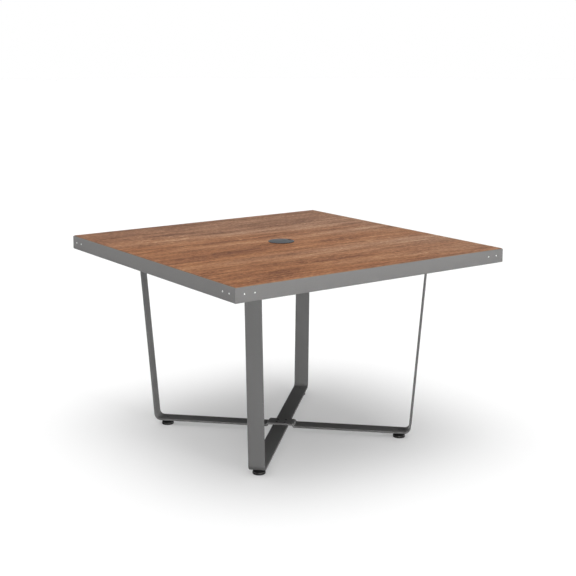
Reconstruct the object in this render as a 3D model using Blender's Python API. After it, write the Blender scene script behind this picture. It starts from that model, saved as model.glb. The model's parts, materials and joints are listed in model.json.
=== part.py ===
"""Square conference table: a steel-edged wood-grain top on two crossed flat-bar leg frames.

Units are metres and +Z is up. The origin is on the floor under the middle of the top. The front
edge of the top faces -Y, and the wood grain runs along X.
"""

import math

import bmesh
import bpy
from mathutils import Matrix, Vector

# Overall size
TOP_LENGTH = 1.200
TOP_WIDTH = 1.200
TABLE_HEIGHT = 0.762

# Fits: pieces that touch, holes round a shank, and pieces that turn past each other
SEAT_GAP = 0.0003
BORE_CLEARANCE = 0.0003
RUN_CLEARANCE = 0.0005

# Top panel: a board between a wood-grain laminate and a backing sheet
LAMINATE_THICKNESS = 0.0028
BACKING_THICKNESS = 0.0012
LAMINATE_PROUD = 0.0024

# Edge rails: steel angle, mitred at the corners
RAIL_HEIGHT = 0.0511
RAIL_WALL = 0.003
RAIL_FLANGE = 0.038
RAIL_EDGE_RADIUS = 0.0008

# Dome-head screws through the rail faces, two near each end
EDGE_SCREW_INSETS = (0.035, 0.075)
EDGE_SCREW_HEIGHT = 0.0285
EDGE_HEAD_DIAMETER = 0.0065
EDGE_HEAD_HEIGHT = 0.0022
EDGE_SHANK_DIAMETER = 0.004
EDGE_SCREW_LENGTH = 0.020

# Pan-head screws up through the rail flanges
RAIL_SCREW_SPACING = 0.600
RAIL_HEAD_DIAMETER = 0.009
RAIL_HEAD_HEIGHT = 0.0025
RAIL_SHANK_DIAMETER = 0.004
RAIL_SCREW_LENGTH = 0.022

# Leg frames: one flat bar each, bent to a wide U with mounting flanges turned in under the top
BAR_WIDTH = 0.060
BAR_THICKNESS = 0.008
BAR_EDGE_RADIUS = 0.001
BEND_RADIUS = 0.020
LEG_SETBACK = 0.3413
LEG_LEAN = math.radians(4.7)
LEG_FLANGE_LENGTH = 0.105

# Joggle that lifts the upper frame over the lower one where they cross
JOGGLE_MARGIN = 0.020
JOGGLE_SLOPE = math.radians(68.0)
JOGGLE_RADIUS = 0.0015

# Screws that clamp the two frames together at the crossing
CROSS_SCREW_SPACING = 0.032
CROSS_HEAD_DIAMETER = 0.0095
CROSS_HEAD_HEIGHT = 0.0022
CROSS_SHANK_DIAMETER = 0.005
CROSS_SOCKET_DIAMETER = 0.0035
CROSS_SOCKET_DEPTH = 0.0014

# Bolts that hold the leg flanges to the panel
LEG_BOLT_INSETS = (0.048, 0.084)
LEG_BOLT_HEAD_DIAMETER = 0.015
LEG_BOLT_HEAD_HEIGHT = 0.0045
LEG_BOLT_SHANK_DIAMETER = 0.007
LEG_BOLT_GRIP = 0.026

# Levelling glides: a black pad with a threaded stud that turns in it
GLIDE_INSET = 0.042
GLIDE_HEIGHT = 0.021
PAD_DIAMETER = 0.048
PAD_BASE_HEIGHT = 0.0085
PAD_HUB_DIAMETER = 0.044
PAD_FLOOR = 0.005
PAD_EDGE_RADIUS = 0.0015
STUD_DIAMETER = 0.008
STUD_RECESS = 0.0005
STUD_CHAMFER = 0.0008
STUD_SOCKET_DIAMETER = 0.004
STUD_SOCKET_DEPTH = 0.003

# Cable grommet: a flanged sleeve in the panel bore, a turning cap and a flip-up tab
GROMMET_BORE = 0.089
SLEEVE_OVERHANG = 0.006
SLEEVE_RISE = 0.003
SLEEVE_WALL = 0.0025
SLEEVE_DEPTH = 0.036
SLEEVE_LIP = 0.004
SLEEVE_EDGE_RADIUS = 0.0012
CAP_RIM_THICKNESS = 0.002
CAP_PLUG_DEPTH = 0.005
NOTCH_WIDTH = 0.024
NOTCH_START = 0.012
TAB_LENGTH = 0.0185
TAB_THICKNESS = 0.0024
TAB_AXIS_DROP = 0.0027
TAB_PIN_DIAMETER = 0.0024
TAB_PIN_REACH = 0.0025

# Facets
SCREW_SIDES = 12
STUD_SIDES = 12
PAD_SIDES = 20
GROMMET_SIDES = 40
BEND_STEPS = 6
JOGGLE_STEPS = 3
DOME_STEPS = 3
ROUND_STEPS = 2
BARREL_STEPS = 10
SMOOTH_ANGLE = math.radians(35.0)

# Levels and distances that several pieces share
RAIL_BOTTOM = TABLE_HEIGHT - LAMINATE_PROUD - RAIL_HEIGHT
BACKING_BOTTOM = RAIL_BOTTOM + RAIL_WALL + SEAT_GAP
CORE_BOTTOM = BACKING_BOTTOM + BACKING_THICKNESS + SEAT_GAP
LAMINATE_BOTTOM = TABLE_HEIGHT - LAMINATE_THICKNESS
CORE_TOP = LAMINATE_BOTTOM - SEAT_GAP
PANEL_LENGTH = TOP_LENGTH - 2 * (RAIL_WALL + SEAT_GAP)
PANEL_WIDTH = TOP_WIDTH - 2 * (RAIL_WALL + SEAT_GAP)
LEG_FLANGE_TOP = BACKING_BOTTOM - SEAT_GAP
LEG_FLANGE_BOTTOM = LEG_FLANGE_TOP - BAR_THICKNESS
BAR_TOP = GLIDE_HEIGHT + BAR_THICKNESS
JOGGLE_RISE = BAR_THICKNESS + SEAT_GAP
CROSSING_TOP = BAR_TOP + JOGGLE_RISE
DIAGONAL_ANGLE = math.atan2(TOP_WIDTH, TOP_LENGTH)
LEG_REACH = math.hypot(TOP_LENGTH, TOP_WIDTH) / 2 - LEG_SETBACK


def leg_reach_at(height):
    """Distance of a leg's centreline from the table's axis at a height above the floor."""
    return LEG_REACH + height * math.tan(LEG_LEAN)


FOOT_CORNER_REACH = leg_reach_at(GLIDE_HEIGHT + BAR_THICKNESS / 2)
TOP_CORNER_REACH = leg_reach_at(LEG_FLANGE_TOP - BAR_THICKNESS / 2)
GLIDE_REACH = FOOT_CORNER_REACH - GLIDE_INSET


def make_finish(name, colour, roughness, metallic):
    """A plain Principled material."""
    finish = bpy.data.materials.new(name)
    finish.use_nodes = True
    shader = finish.node_tree.nodes["Principled BSDF"]
    shader.inputs["Base Color"].default_value = (*colour, 1.0)
    shader.inputs["Roughness"].default_value = roughness
    shader.inputs["Metallic"].default_value = metallic
    finish.diffuse_color = (*colour, 1.0)
    return finish


def make_empty(name, location=(0.0, 0.0, 0.0), turn=0.0):
    """An empty that carries a group of pieces, turned about Z."""
    empty = bpy.data.objects.new(name, None)
    empty.location = location
    empty.rotation_euler = (0.0, 0.0, turn)
    bpy.context.collection.objects.link(empty)
    return empty


def finish_mesh(bm, name):
    """Close a bmesh into a mesh with outward faces, smooth on its round parts."""
    bmesh.ops.recalc_face_normals(bm, faces=bm.faces)
    mesh = bpy.data.meshes.new(name)
    bm.to_mesh(mesh)
    bm.free()
    mesh.shade_smooth()
    mesh.set_sharp_from_angle(angle=SMOOTH_ANGLE)
    return mesh


def place(name, mesh, finish, parent=None, location=(0.0, 0.0, 0.0), turn=(0.0, 0.0, 0.0)):
    """Put a mesh in the scene as one named piece."""
    piece = bpy.data.objects.new(name, mesh)
    if not mesh.materials:
        mesh.materials.append(finish)
    piece.parent = parent
    piece.location = location
    piece.rotation_euler = turn
    bpy.context.collection.objects.link(piece)
    return piece


def cut(piece, cutter_mesh, parent=None):
    """Subtract a mesh from a piece; the cutter stays hidden."""
    cutter = bpy.data.objects.new("cutter_" + piece.name, cutter_mesh)
    cutter.parent = parent
    cutter.hide_render = True
    cutter.display_type = "WIRE"
    bpy.context.collection.objects.link(cutter)
    boolean = piece.modifiers.new("bores", "BOOLEAN")
    boolean.operation = "DIFFERENCE"
    boolean.solver = "EXACT"
    boolean.object = cutter


def add_box(bm, low, high):
    """Add a box between two corners."""
    size = Vector(high) - Vector(low)
    middle = (Vector(high) + Vector(low)) / 2
    scale = Matrix.Diagonal((*size, 1.0))
    bmesh.ops.create_cube(bm, size=1.0, matrix=Matrix.Translation(middle) @ scale)


def add_bore(bm, start, end, diameter, sides=SCREW_SIDES):
    """Add a capped cylinder between two points."""
    axis = Vector(end) - Vector(start)
    middle = (Vector(end) + Vector(start)) / 2
    aim = Vector((0.0, 0.0, 1.0)).rotation_difference(axis).to_matrix().to_4x4()
    bmesh.ops.create_cone(
        bm,
        cap_ends=True,
        segments=sides,
        radius1=diameter / 2,
        radius2=diameter / 2,
        depth=axis.length,
        matrix=Matrix.Translation(middle) @ aim,
    )


def turned_mesh(name, profile, sides, closed=False):
    """Spin a profile of (radius, height) points about Z."""
    bm = bmesh.new()
    verts = [bm.verts.new((radius, 0.0, height)) for radius, height in profile]
    edges = [bm.edges.new(pair) for pair in zip(verts, verts[1:])]
    if closed:
        edges.append(bm.edges.new((verts[-1], verts[0])))
    bmesh.ops.spin(
        bm,
        geom=verts + edges,
        cent=(0.0, 0.0, 0.0),
        axis=(0.0, 0.0, 1.0),
        angle=math.tau,
        steps=sides,
        use_merge=True,
    )
    bmesh.ops.remove_doubles(bm, verts=bm.verts, dist=1e-6)
    return finish_mesh(bm, name)


def arc(centre, radius, start, end, steps):
    """Points round a circle from one angle to another, both ends included."""
    points = []
    for step in range(steps + 1):
        angle = start + (end - start) * step / steps
        points.append((centre[0] + radius * math.cos(angle), centre[1] + radius * math.sin(angle)))
    return points


def rounded_path(corners):
    """Points and left-hand normals along straight runs joined by arcs.

    Each corner is (x, z, centreline radius, arc steps); the first and last corner are plain ends.
    """
    spots = [Vector((corner[0], corner[1])) for corner in corners]
    heading = (spots[1] - spots[0]).normalized()
    path = [(spots[0], heading)]
    for index in range(1, len(corners) - 1):
        spot = spots[index]
        radius, steps = corners[index][2:]
        inward = (spot - spots[index - 1]).normalized()
        outward = (spots[index + 1] - spot).normalized()
        sweep = inward.angle_signed(outward)
        setback = radius * math.tan(abs(sweep) / 2)
        side = Vector((inward.y, -inward.x)) * math.copysign(radius, sweep)
        centre = spot - inward * setback + side
        for step in range(steps + 1):
            turn = Matrix.Rotation(-sweep * step / steps, 2)
            path.append((centre - turn @ side, turn @ inward))
    heading = (spots[-1] - spots[-2]).normalized()
    path.append((spots[-1], heading))
    return [(spot, Vector((-along.y, along.x))) for spot, along in path]


def extruded_mesh(name, outline, width, edge_radius=0.0):
    """Extrude an outline in the XZ plane across Y, centred, with its rim edges rounded."""
    bm = bmesh.new()
    verts = [bm.verts.new((x, -width / 2, z)) for x, z in outline]
    face = bm.faces.new(verts)
    extruded = bmesh.ops.extrude_face_region(bm, geom=[face])["geom"]
    moved = [item for item in extruded if isinstance(item, bmesh.types.BMVert)]
    bmesh.ops.translate(bm, verts=moved, vec=(0.0, width, 0.0))
    bmesh.ops.recalc_face_normals(bm, faces=bm.faces)
    if edge_radius:
        rims = [edge for edge in bm.edges if edge.verts[0].co.y == edge.verts[1].co.y]
        bmesh.ops.bevel(
            bm,
            geom=rims,
            offset=edge_radius,
            segments=ROUND_STEPS,
            profile=0.5,
            affect="EDGES",
            material=-1,
        )
    return finish_mesh(bm, name)


def screw_mesh(name, head_diameter, head_height, shank_diameter, length, socket=None):
    """A round-head screw: its head sits above Z = 0 by the seat gap and its shank hangs below."""
    head = head_diameter / 2
    shank = shank_diameter / 2
    crown_radius = (head**2 + head_height**2) / (2 * head_height)
    crown_centre = SEAT_GAP + head_height - crown_radius
    rim_angle = math.asin(head / crown_radius)
    profile = []
    first_angle = 0.0
    if socket:
        socket_radius = socket[0] / 2
        first_angle = math.asin(socket_radius / crown_radius)
        socket_floor = SEAT_GAP + head_height - socket[1]
        profile += [(0.0, socket_floor), (socket_radius, socket_floor)]
    for height, radius in arc((crown_centre, 0.0), crown_radius, first_angle, rim_angle, DOME_STEPS):
        profile.append((radius, height))
    profile += [(shank, SEAT_GAP), (shank, -length), (0.0, -length)]
    return turned_mesh(name, profile, SCREW_SIDES)


def build_panel(finishes):
    """The board, its laminate and its backing sheet, each with the grommet bore."""
    layers = (
        ("panel_core", CORE_BOTTOM, CORE_TOP, finishes["board"]),
        ("face_laminate", LAMINATE_BOTTOM, TABLE_HEIGHT, finishes["wood"]),
        ("backing_sheet", BACKING_BOTTOM, BACKING_BOTTOM + BACKING_THICKNESS, finishes["backing"]),
    )
    half_length = PANEL_LENGTH / 2
    half_width = PANEL_WIDTH / 2
    pieces = {}
    for name, bottom, top, finish in layers:
        bm = bmesh.new()
        add_box(bm, (-half_length, -half_width, bottom), (half_length, half_width, top))
        pieces[name] = place(name, finish_mesh(bm, name), finish)
    bm = bmesh.new()
    add_bore(bm, (0, 0, RAIL_BOTTOM), (0, 0, TABLE_HEIGHT + SLEEVE_RISE), GROMMET_BORE, GROMMET_SIDES)
    bore = finish_mesh(bm, "grommet_bore")
    for piece in pieces.values():
        cut(piece, bore)
    return pieces


def rail_mesh(name, length):
    """A mitred angle: X along the rail, Y inwards from its outer face, Z up from its underside."""
    outline = (
        (0.0, 0.0),
        (RAIL_FLANGE, 0.0),
        (RAIL_FLANGE, RAIL_WALL),
        (RAIL_WALL, RAIL_WALL),
        (RAIL_WALL, RAIL_HEIGHT),
        (0.0, RAIL_HEIGHT),
    )
    bm = bmesh.new()
    ends = []
    for side in (-1, 1):
        verts = []
        for inset, height in outline:
            verts.append(bm.verts.new((side * (length / 2 - inset - SEAT_GAP), inset, height)))
        ends.append(bm.faces.new(verts))
    bmesh.ops.bridge_loops(bm, edges=[edge for face in ends for edge in face.edges])
    bmesh.ops.recalc_face_normals(bm, faces=bm.faces)
    outer_edges = []
    for edge in bm.edges:
        first, second = (vert.co for vert in edge.verts)
        if first.y == second.y == 0.0 and first.z == second.z:
            outer_edges.append(edge)
    bmesh.ops.bevel(
        bm,
        geom=outer_edges,
        offset=RAIL_EDGE_RADIUS,
        segments=ROUND_STEPS,
        profile=0.5,
        affect="EDGES",
        material=-1,
    )
    return finish_mesh(bm, name)


def build_sides(panel, finishes):
    """Four edge rails with the screws through their faces and flanges."""
    edge_screw = screw_mesh(
        "edge_screw", EDGE_HEAD_DIAMETER, EDGE_HEAD_HEIGHT, EDGE_SHANK_DIAMETER, EDGE_SCREW_LENGTH
    )
    rail_screw = screw_mesh(
        "rail_screw", RAIL_HEAD_DIAMETER, RAIL_HEAD_HEIGHT, RAIL_SHANK_DIAMETER, RAIL_SCREW_LENGTH
    )
    sides = (
        ("front", TOP_LENGTH, TOP_WIDTH, 0.0),
        ("right", TOP_WIDTH, TOP_LENGTH, math.pi / 2),
        ("back", TOP_LENGTH, TOP_WIDTH, math.pi),
        ("left", TOP_WIDTH, TOP_LENGTH, -math.pi / 2),
    )
    flange_middle = (RAIL_WALL + RAIL_FLANGE) / 2
    edge_bore = EDGE_SHANK_DIAMETER + 2 * BORE_CLEARANCE
    rail_bore = RAIL_SHANK_DIAMETER + 2 * BORE_CLEARANCE
    for side, length, across, turn in sides:
        outer_face = Matrix.Rotation(turn, 3, "Z") @ Vector((0.0, -across / 2, RAIL_BOTTOM))
        frame = make_empty("side_" + side, outer_face, turn)
        rail_name = "edge_rail_" + side
        rail = place(rail_name, rail_mesh(rail_name, length), finishes["paint"], frame)
        bores = bmesh.new()
        near = [inset - length / 2 for inset in EDGE_SCREW_INSETS]
        far = [-along for along in reversed(near)]
        for number, along in enumerate(near + far, 1):
            seat = Vector((along, 0.0, EDGE_SCREW_HEIGHT))
            depth = Vector((0.0, EDGE_SCREW_LENGTH + SEAT_GAP, 0.0))
            add_bore(bores, seat - depth, seat + depth, edge_bore)
            name = "edge_screw_%s_%d" % (side, number)
            place(name, edge_screw, finishes["bright"], frame, seat, (math.pi / 2, 0.0, 0.0))
        for number, along in enumerate((-RAIL_SCREW_SPACING / 2, RAIL_SCREW_SPACING / 2), 1):
            seat = Vector((along, flange_middle, 0.0))
            depth = Vector((0.0, 0.0, RAIL_SCREW_LENGTH + SEAT_GAP))
            add_bore(bores, seat - depth, seat + depth, rail_bore)
            name = "rail_screw_%s_%d" % (side, number)
            place(name, rail_screw, finishes["zinc"], frame, seat, (math.pi, 0.0, 0.0))
        bore_mesh = finish_mesh(bores, "side_bores_" + side)
        for piece in (rail, panel["panel_core"], panel["backing_sheet"]):
            cut(piece, bore_mesh, frame)


def leg_frame_mesh(name, joggled):
    """A flat bar bent to a wide U: X along the table's diagonal, Y across the bar."""
    half = BAR_THICKNESS / 2
    low = GLIDE_HEIGHT + half
    high = LEG_FLANGE_TOP - half
    bend = (BEND_RADIUS + half, BEND_STEPS)
    right = []
    if joggled:
        crossing = 2 * DIAGONAL_ANGLE
        plateau = BAR_WIDTH / 2 * (1 / math.sin(crossing) + abs(1 / math.tan(crossing))) + JOGGLE_MARGIN
        joggle = (JOGGLE_RADIUS + half, JOGGLE_STEPS)
        right.append((plateau, low + JOGGLE_RISE, *joggle))
        right.append((plateau + JOGGLE_RISE / math.tan(JOGGLE_SLOPE), low, *joggle))
    right.append((FOOT_CORNER_REACH, low, *bend))
    right.append((TOP_CORNER_REACH, high, *bend))
    right.append((TOP_CORNER_REACH - LEG_FLANGE_LENGTH, high, *bend))
    left = [(-reach, *rest) for reach, *rest in reversed(right)]
    path = rounded_path(left + right)
    outline = [spot + normal * half for spot, normal in path]
    outline += [spot - normal * half for spot, normal in reversed(path)]
    return extruded_mesh(name, outline, BAR_WIDTH, BAR_EDGE_RADIUS)


def pad_mesh():
    """A glide pad: a wide base, a narrower hub and a pocket for the stud."""
    base = PAD_DIAMETER / 2
    hub = PAD_HUB_DIAMETER / 2
    pocket = STUD_DIAMETER / 2 + BORE_CLEARANCE
    top = GLIDE_HEIGHT - SEAT_GAP
    rim = PAD_EDGE_RADIUS
    profile = [(0.0, PAD_FLOOR), (pocket, PAD_FLOOR), (pocket, top), (hub, top), (hub, PAD_BASE_HEIGHT)]
    shoulder = (base - rim, PAD_BASE_HEIGHT - rim)
    profile += arc(shoulder, rim, math.pi / 2, 0.0, ROUND_STEPS)
    profile += [(base, rim), (base - rim, 0.0), (0.0, 0.0)]
    return turned_mesh("glide_pad", profile, PAD_SIDES)


def stud_mesh():
    """A threaded stud, standing on the pad's pocket floor, with a key socket in its top."""
    radius = STUD_DIAMETER / 2
    bottom = PAD_FLOOR + SEAT_GAP
    top = BAR_TOP - STUD_RECESS
    socket = STUD_SOCKET_DIAMETER / 2
    floor = top - STUD_SOCKET_DEPTH
    profile = [
        (0.0, floor),
        (socket, floor),
        (socket, top),
        (radius - STUD_CHAMFER, top),
        (radius, top - STUD_CHAMFER),
        (radius, bottom),
        (0.0, bottom),
    ]
    return turned_mesh("glide_stud", profile, STUD_SIDES)


def build_legs(panel, finishes):
    """Two crossed leg frames with their flange bolts and levelling glides."""
    bolt = screw_mesh(
        "leg_bolt",
        LEG_BOLT_HEAD_DIAMETER,
        LEG_BOLT_HEAD_HEIGHT,
        LEG_BOLT_SHANK_DIAMETER,
        BAR_THICKNESS + LEG_BOLT_GRIP,
    )
    pad = pad_mesh()
    stud = stud_mesh()
    bolt_bore = LEG_BOLT_SHANK_DIAMETER + 2 * BORE_CLEARANCE
    stud_bore = STUD_DIAMETER + 2 * BORE_CLEARANCE
    bolt_depth = BAR_THICKNESS + LEG_BOLT_GRIP + SEAT_GAP
    frames = (
        ("lower_leg_frame", False, DIAGONAL_ANGLE, ("front_left", "back_right")),
        ("upper_leg_frame", True, -DIAGONAL_ANGLE, ("back_left", "front_right")),
    )
    built = []
    for name, joggled, turn, corners in frames:
        axes = make_empty(name + "_axes", turn=turn)
        frame = place(name, leg_frame_mesh(name, joggled), finishes["paint"], axes)
        bores = bmesh.new()
        for corner, side in zip(corners, (-1, 1)):
            for number, inset in enumerate(LEG_BOLT_INSETS, 1):
                seat = Vector((side * (TOP_CORNER_REACH - inset), 0.0, LEG_FLANGE_BOTTOM))
                depth = Vector((0.0, 0.0, bolt_depth))
                add_bore(bores, seat - depth, seat + depth, bolt_bore)
                bolt_name = "leg_bolt_%s_%d" % (corner, number)
                place(bolt_name, bolt, finishes["zinc"], axes, seat, (math.pi, 0.0, 0.0))
            foot = Vector((side * GLIDE_REACH, 0.0, 0.0))
            add_bore(bores, foot, foot + Vector((0.0, 0.0, BAR_TOP + BAR_THICKNESS)), stud_bore, STUD_SIDES)
            place("glide_pad_" + corner, pad, finishes["rubber"], axes, foot)
            place("glide_stud_" + corner, stud, finishes["black"], axes, foot)
        bore_mesh = finish_mesh(bores, "leg_bores_" + name)
        for piece in (frame, panel["panel_core"], panel["backing_sheet"]):
            cut(piece, bore_mesh, axes)
        built.append((frame, axes))
    build_crossing(built, finishes)


def build_crossing(frames, finishes):
    """Four socket screws down through the upper frame into the lower one."""
    length = 2 * BAR_THICKNESS
    screw = screw_mesh(
        "cross_screw",
        CROSS_HEAD_DIAMETER,
        CROSS_HEAD_HEIGHT,
        CROSS_SHANK_DIAMETER,
        length,
        (CROSS_SOCKET_DIAMETER, CROSS_SOCKET_DEPTH),
    )
    bore = CROSS_SHANK_DIAMETER + 2 * BORE_CLEARANCE
    axes = frames[1][1]
    bores = bmesh.new()
    half = CROSS_SCREW_SPACING / 2
    spots = ((-half, -half), (half, -half), (half, half), (-half, half))
    for number, (along, across) in enumerate(spots, 1):
        seat = Vector((along, across, CROSSING_TOP))
        depth = Vector((0.0, 0.0, length + BAR_THICKNESS))
        add_bore(bores, seat - depth, seat + depth, bore)
        place("cross_screw_%d" % number, screw, finishes["black"], axes, seat)
    bore_mesh = finish_mesh(bores, "cross_bores")
    for frame, _ in frames:
        cut(frame, bore_mesh, axes)


def build_grommet(finishes):
    """The cable grommet in the middle of the top; its cap turns about Z and its tab flips up."""
    tube = GROMMET_BORE / 2 - SEAT_GAP
    bore = tube - SLEEVE_WALL
    flange = GROMMET_BORE / 2 + SLEEVE_OVERHANG
    recess = flange - SLEEVE_LIP
    seat = SLEEVE_RISE - CAP_RIM_THICKNESS
    edge = SLEEVE_EDGE_RADIUS
    axes = make_empty("grommet_axes", (0.0, 0.0, TABLE_HEIGHT + SEAT_GAP))
    sleeve = [(bore, -SLEEVE_DEPTH), (bore, seat), (recess, seat), (recess, SLEEVE_RISE)]
    sleeve += arc((flange - edge, SLEEVE_RISE - edge), edge, math.pi / 2, 0.0, ROUND_STEPS)
    sleeve += [(flange, 0.0), (tube, 0.0), (tube, -SLEEVE_DEPTH)]
    sleeve_mesh = turned_mesh("grommet_sleeve", sleeve, GROMMET_SIDES, closed=True)
    place("grommet_sleeve", sleeve_mesh, finishes["plastic"], axes)

    rim = recess - RUN_CLEARANCE
    plug = bore - RUN_CLEARANCE
    rim_bottom = seat + SEAT_GAP
    plug_bottom = rim_bottom - CAP_PLUG_DEPTH
    cap_profile = [(0.0, SLEEVE_RISE), (rim, SLEEVE_RISE), (rim, rim_bottom), (plug, rim_bottom)]
    cap_profile += [(plug, plug_bottom), (0.0, plug_bottom)]
    cap_mesh = turned_mesh("grommet_cap", cap_profile, GROMMET_SIDES)
    cap = place("grommet_cap", cap_mesh, finishes["plastic"], axes)

    hinge = Vector((NOTCH_START + TAB_AXIS_DROP + RUN_CLEARANCE, 0.0, SLEEVE_RISE - TAB_AXIS_DROP))
    half_pin = Vector((0.0, NOTCH_WIDTH / 2 + TAB_PIN_REACH, 0.0))
    half_bore = half_pin + Vector((0.0, SEAT_GAP, 0.0))
    notch = bmesh.new()
    low = (NOTCH_START, -NOTCH_WIDTH / 2, plug_bottom - SLEEVE_RISE)
    high = (flange, NOTCH_WIDTH / 2, 2 * SLEEVE_RISE)
    add_box(notch, low, high)
    cut(cap, finish_mesh(notch, "cable_notch"), axes)
    pin_bores = bmesh.new()
    add_bore(pin_bores, hinge - half_bore, hinge + half_bore, TAB_PIN_DIAMETER + 2 * BORE_CLEARANCE)
    cut(cap, finish_mesh(pin_bores, "tab_pin_bores"), axes)

    underside = TAB_AXIS_DROP - TAB_THICKNESS
    under_angle = math.asin(underside / TAB_AXIS_DROP)
    outline = [(TAB_LENGTH, underside), (TAB_LENGTH, TAB_AXIS_DROP)]
    outline += arc((0.0, 0.0), TAB_AXIS_DROP, math.pi / 2, math.tau + under_angle, BARREL_STEPS)
    tab_mesh = extruded_mesh("grommet_tab", outline, NOTCH_WIDTH - 2 * RUN_CLEARANCE)
    tab = place("grommet_tab", tab_mesh, finishes["plastic"], axes, hinge)
    pin = bmesh.new()
    add_bore(pin, -half_pin, half_pin, TAB_PIN_DIAMETER)
    pin_object = bpy.data.objects.new("tab_pin_form", finish_mesh(pin, "tab_pin_form"))
    pin_object.parent = axes
    pin_object.location = hinge
    pin_object.hide_render = True
    pin_object.display_type = "WIRE"
    bpy.context.collection.objects.link(pin_object)
    union = tab.modifiers.new("pin", "BOOLEAN")
    union.operation = "UNION"
    union.solver = "EXACT"
    union.object = pin_object


def main():
    """Clear the scene and build the table."""
    for item in list(bpy.data.objects):
        bpy.data.objects.remove(item, do_unlink=True)
    finishes = {
        "wood": make_finish("wood_laminate", (0.30, 0.145, 0.075), 0.45, 0.0),
        "board": make_finish("board", (0.42, 0.30, 0.19), 0.80, 0.0),
        "backing": make_finish("backing_paper", (0.10, 0.09, 0.08), 0.70, 0.0),
        "paint": make_finish("grey_paint", (0.17, 0.168, 0.165), 0.55, 0.0),
        "bright": make_finish("polished_screws", (0.80, 0.80, 0.80), 0.15, 1.0),
        "zinc": make_finish("zinc_fasteners", (0.45, 0.45, 0.46), 0.35, 1.0),
        "black": make_finish("black_screws", (0.02, 0.02, 0.02), 0.45, 0.6),
        "rubber": make_finish("black_glides", (0.012, 0.012, 0.012), 0.55, 0.0),
        "plastic": make_finish("grey_plastic", (0.09, 0.094, 0.10), 0.45, 0.0),
    }
    panel = build_panel(finishes)
    build_sides(panel, finishes)
    build_legs(panel, finishes)
    build_grommet(finishes)


main()
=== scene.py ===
"""Looks of the square conference table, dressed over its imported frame.

Units are metres and +Z is up. The origin is on the floor under the middle of the top, the front
edge of the top faces -Y, and the wood grain runs along X. Sizes that the frame can give are read
from it; what it can't give is a field of the class that needs it.
"""

import json
import logging
import math
from collections.abc import Iterable, Mapping, Sequence
from dataclasses import dataclass, field
from enum import Enum
from typing import Any

import bmesh
import bpy
from bmesh.types import BMEdge, BMesh, BMFace, BMVert
from bpy.types import Material, Node, NodeSocket, NodeTree
from mathutils import Matrix, Vector

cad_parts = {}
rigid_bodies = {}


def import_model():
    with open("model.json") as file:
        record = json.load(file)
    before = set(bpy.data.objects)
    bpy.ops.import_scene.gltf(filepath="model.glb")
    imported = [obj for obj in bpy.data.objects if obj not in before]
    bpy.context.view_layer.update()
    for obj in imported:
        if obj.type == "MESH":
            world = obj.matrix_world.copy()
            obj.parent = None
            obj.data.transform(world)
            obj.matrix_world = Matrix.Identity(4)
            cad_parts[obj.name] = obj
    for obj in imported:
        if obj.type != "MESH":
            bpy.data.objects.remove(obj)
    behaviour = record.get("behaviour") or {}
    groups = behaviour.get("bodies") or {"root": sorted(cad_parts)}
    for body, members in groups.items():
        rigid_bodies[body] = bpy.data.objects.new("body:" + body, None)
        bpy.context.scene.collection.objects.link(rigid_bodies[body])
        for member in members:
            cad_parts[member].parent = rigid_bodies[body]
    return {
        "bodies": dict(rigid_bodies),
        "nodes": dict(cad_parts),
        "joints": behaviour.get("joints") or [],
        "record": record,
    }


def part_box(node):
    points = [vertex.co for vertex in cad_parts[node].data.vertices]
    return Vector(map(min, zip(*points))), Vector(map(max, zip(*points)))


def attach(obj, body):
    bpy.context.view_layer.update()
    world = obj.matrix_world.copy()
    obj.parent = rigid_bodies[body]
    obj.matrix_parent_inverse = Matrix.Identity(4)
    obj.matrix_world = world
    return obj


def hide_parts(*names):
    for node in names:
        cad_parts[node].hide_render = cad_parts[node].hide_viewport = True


LOG = logging.getLogger("conference_table")
SMOOTH_ANGLE = math.radians(35.0)
MERGE_DISTANCE = 1e-6
LEVEL_NORMAL = 0.99
KEY_SIDES = 6
NOISE_MEAN = 0.5
IMAGE_SIZE = 576

Colour = tuple[float, float, float]
Stretch = tuple[float, float, float]


class Side(Enum):
    """Edges of the top, each with the turn that brings the front edge there."""

    FRONT = 0.0
    RIGHT = math.pi / 2
    BACK = math.pi
    LEFT = -math.pi / 2

    @property
    def outward(self) -> Vector:
        """Direction that the edge faces."""
        return Matrix.Rotation(self.value, 3, "Z") @ Vector((0.0, -1.0, 0.0))

    def node(self, stem: str) -> str:
        """Name of a frame node on this side."""
        return f"{stem}_{self.name.lower()}"


class Corner(Enum):
    """Corners of the table, as the frame names them."""

    FRONT_LEFT = "front_left"
    FRONT_RIGHT = "front_right"
    BACK_LEFT = "back_left"
    BACK_RIGHT = "back_right"


class Diagonal(Enum):
    """The two leg frames, each with the turn that lays X along its diagonal."""

    LOWER = math.pi / 4
    UPPER = -math.pi / 4

    @property
    def node(self) -> str:
        """Name of the leg frame's node."""
        return f"{self.name.lower()}_leg_frame"


class Drive(Enum):
    """Recess in a screw's head."""

    PLAIN = "plain"
    SOCKET = "socket"
    CROSS = "cross"


class Slot(Enum):
    """Material slots of the record for the scene's own pieces."""

    WOOD = "wood_laminate"
    PAINT = "grey_paint"
    BRIGHT = "polished_screws"
    ZINC = "zinc_fasteners"
    BLACK_SCREW = "black_screws"
    GLIDE = "black_glides"
    PLASTIC = "grey_plastic"


# Node sketches


@dataclass(frozen=True)
class Cloud:
    """Cloudy noise: clouds per metre along each axis, octaves, their strength and the change of tone."""

    stretch: Stretch
    detail: float = 2.0
    roughness: float = 0.5
    strength: float = 1.0


@dataclass(frozen=True)
class Spots(Cloud):
    """Noise of which only the peaks show, rising from a low value to a high one."""

    low: float = 0.3
    high: float = 0.7


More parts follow.
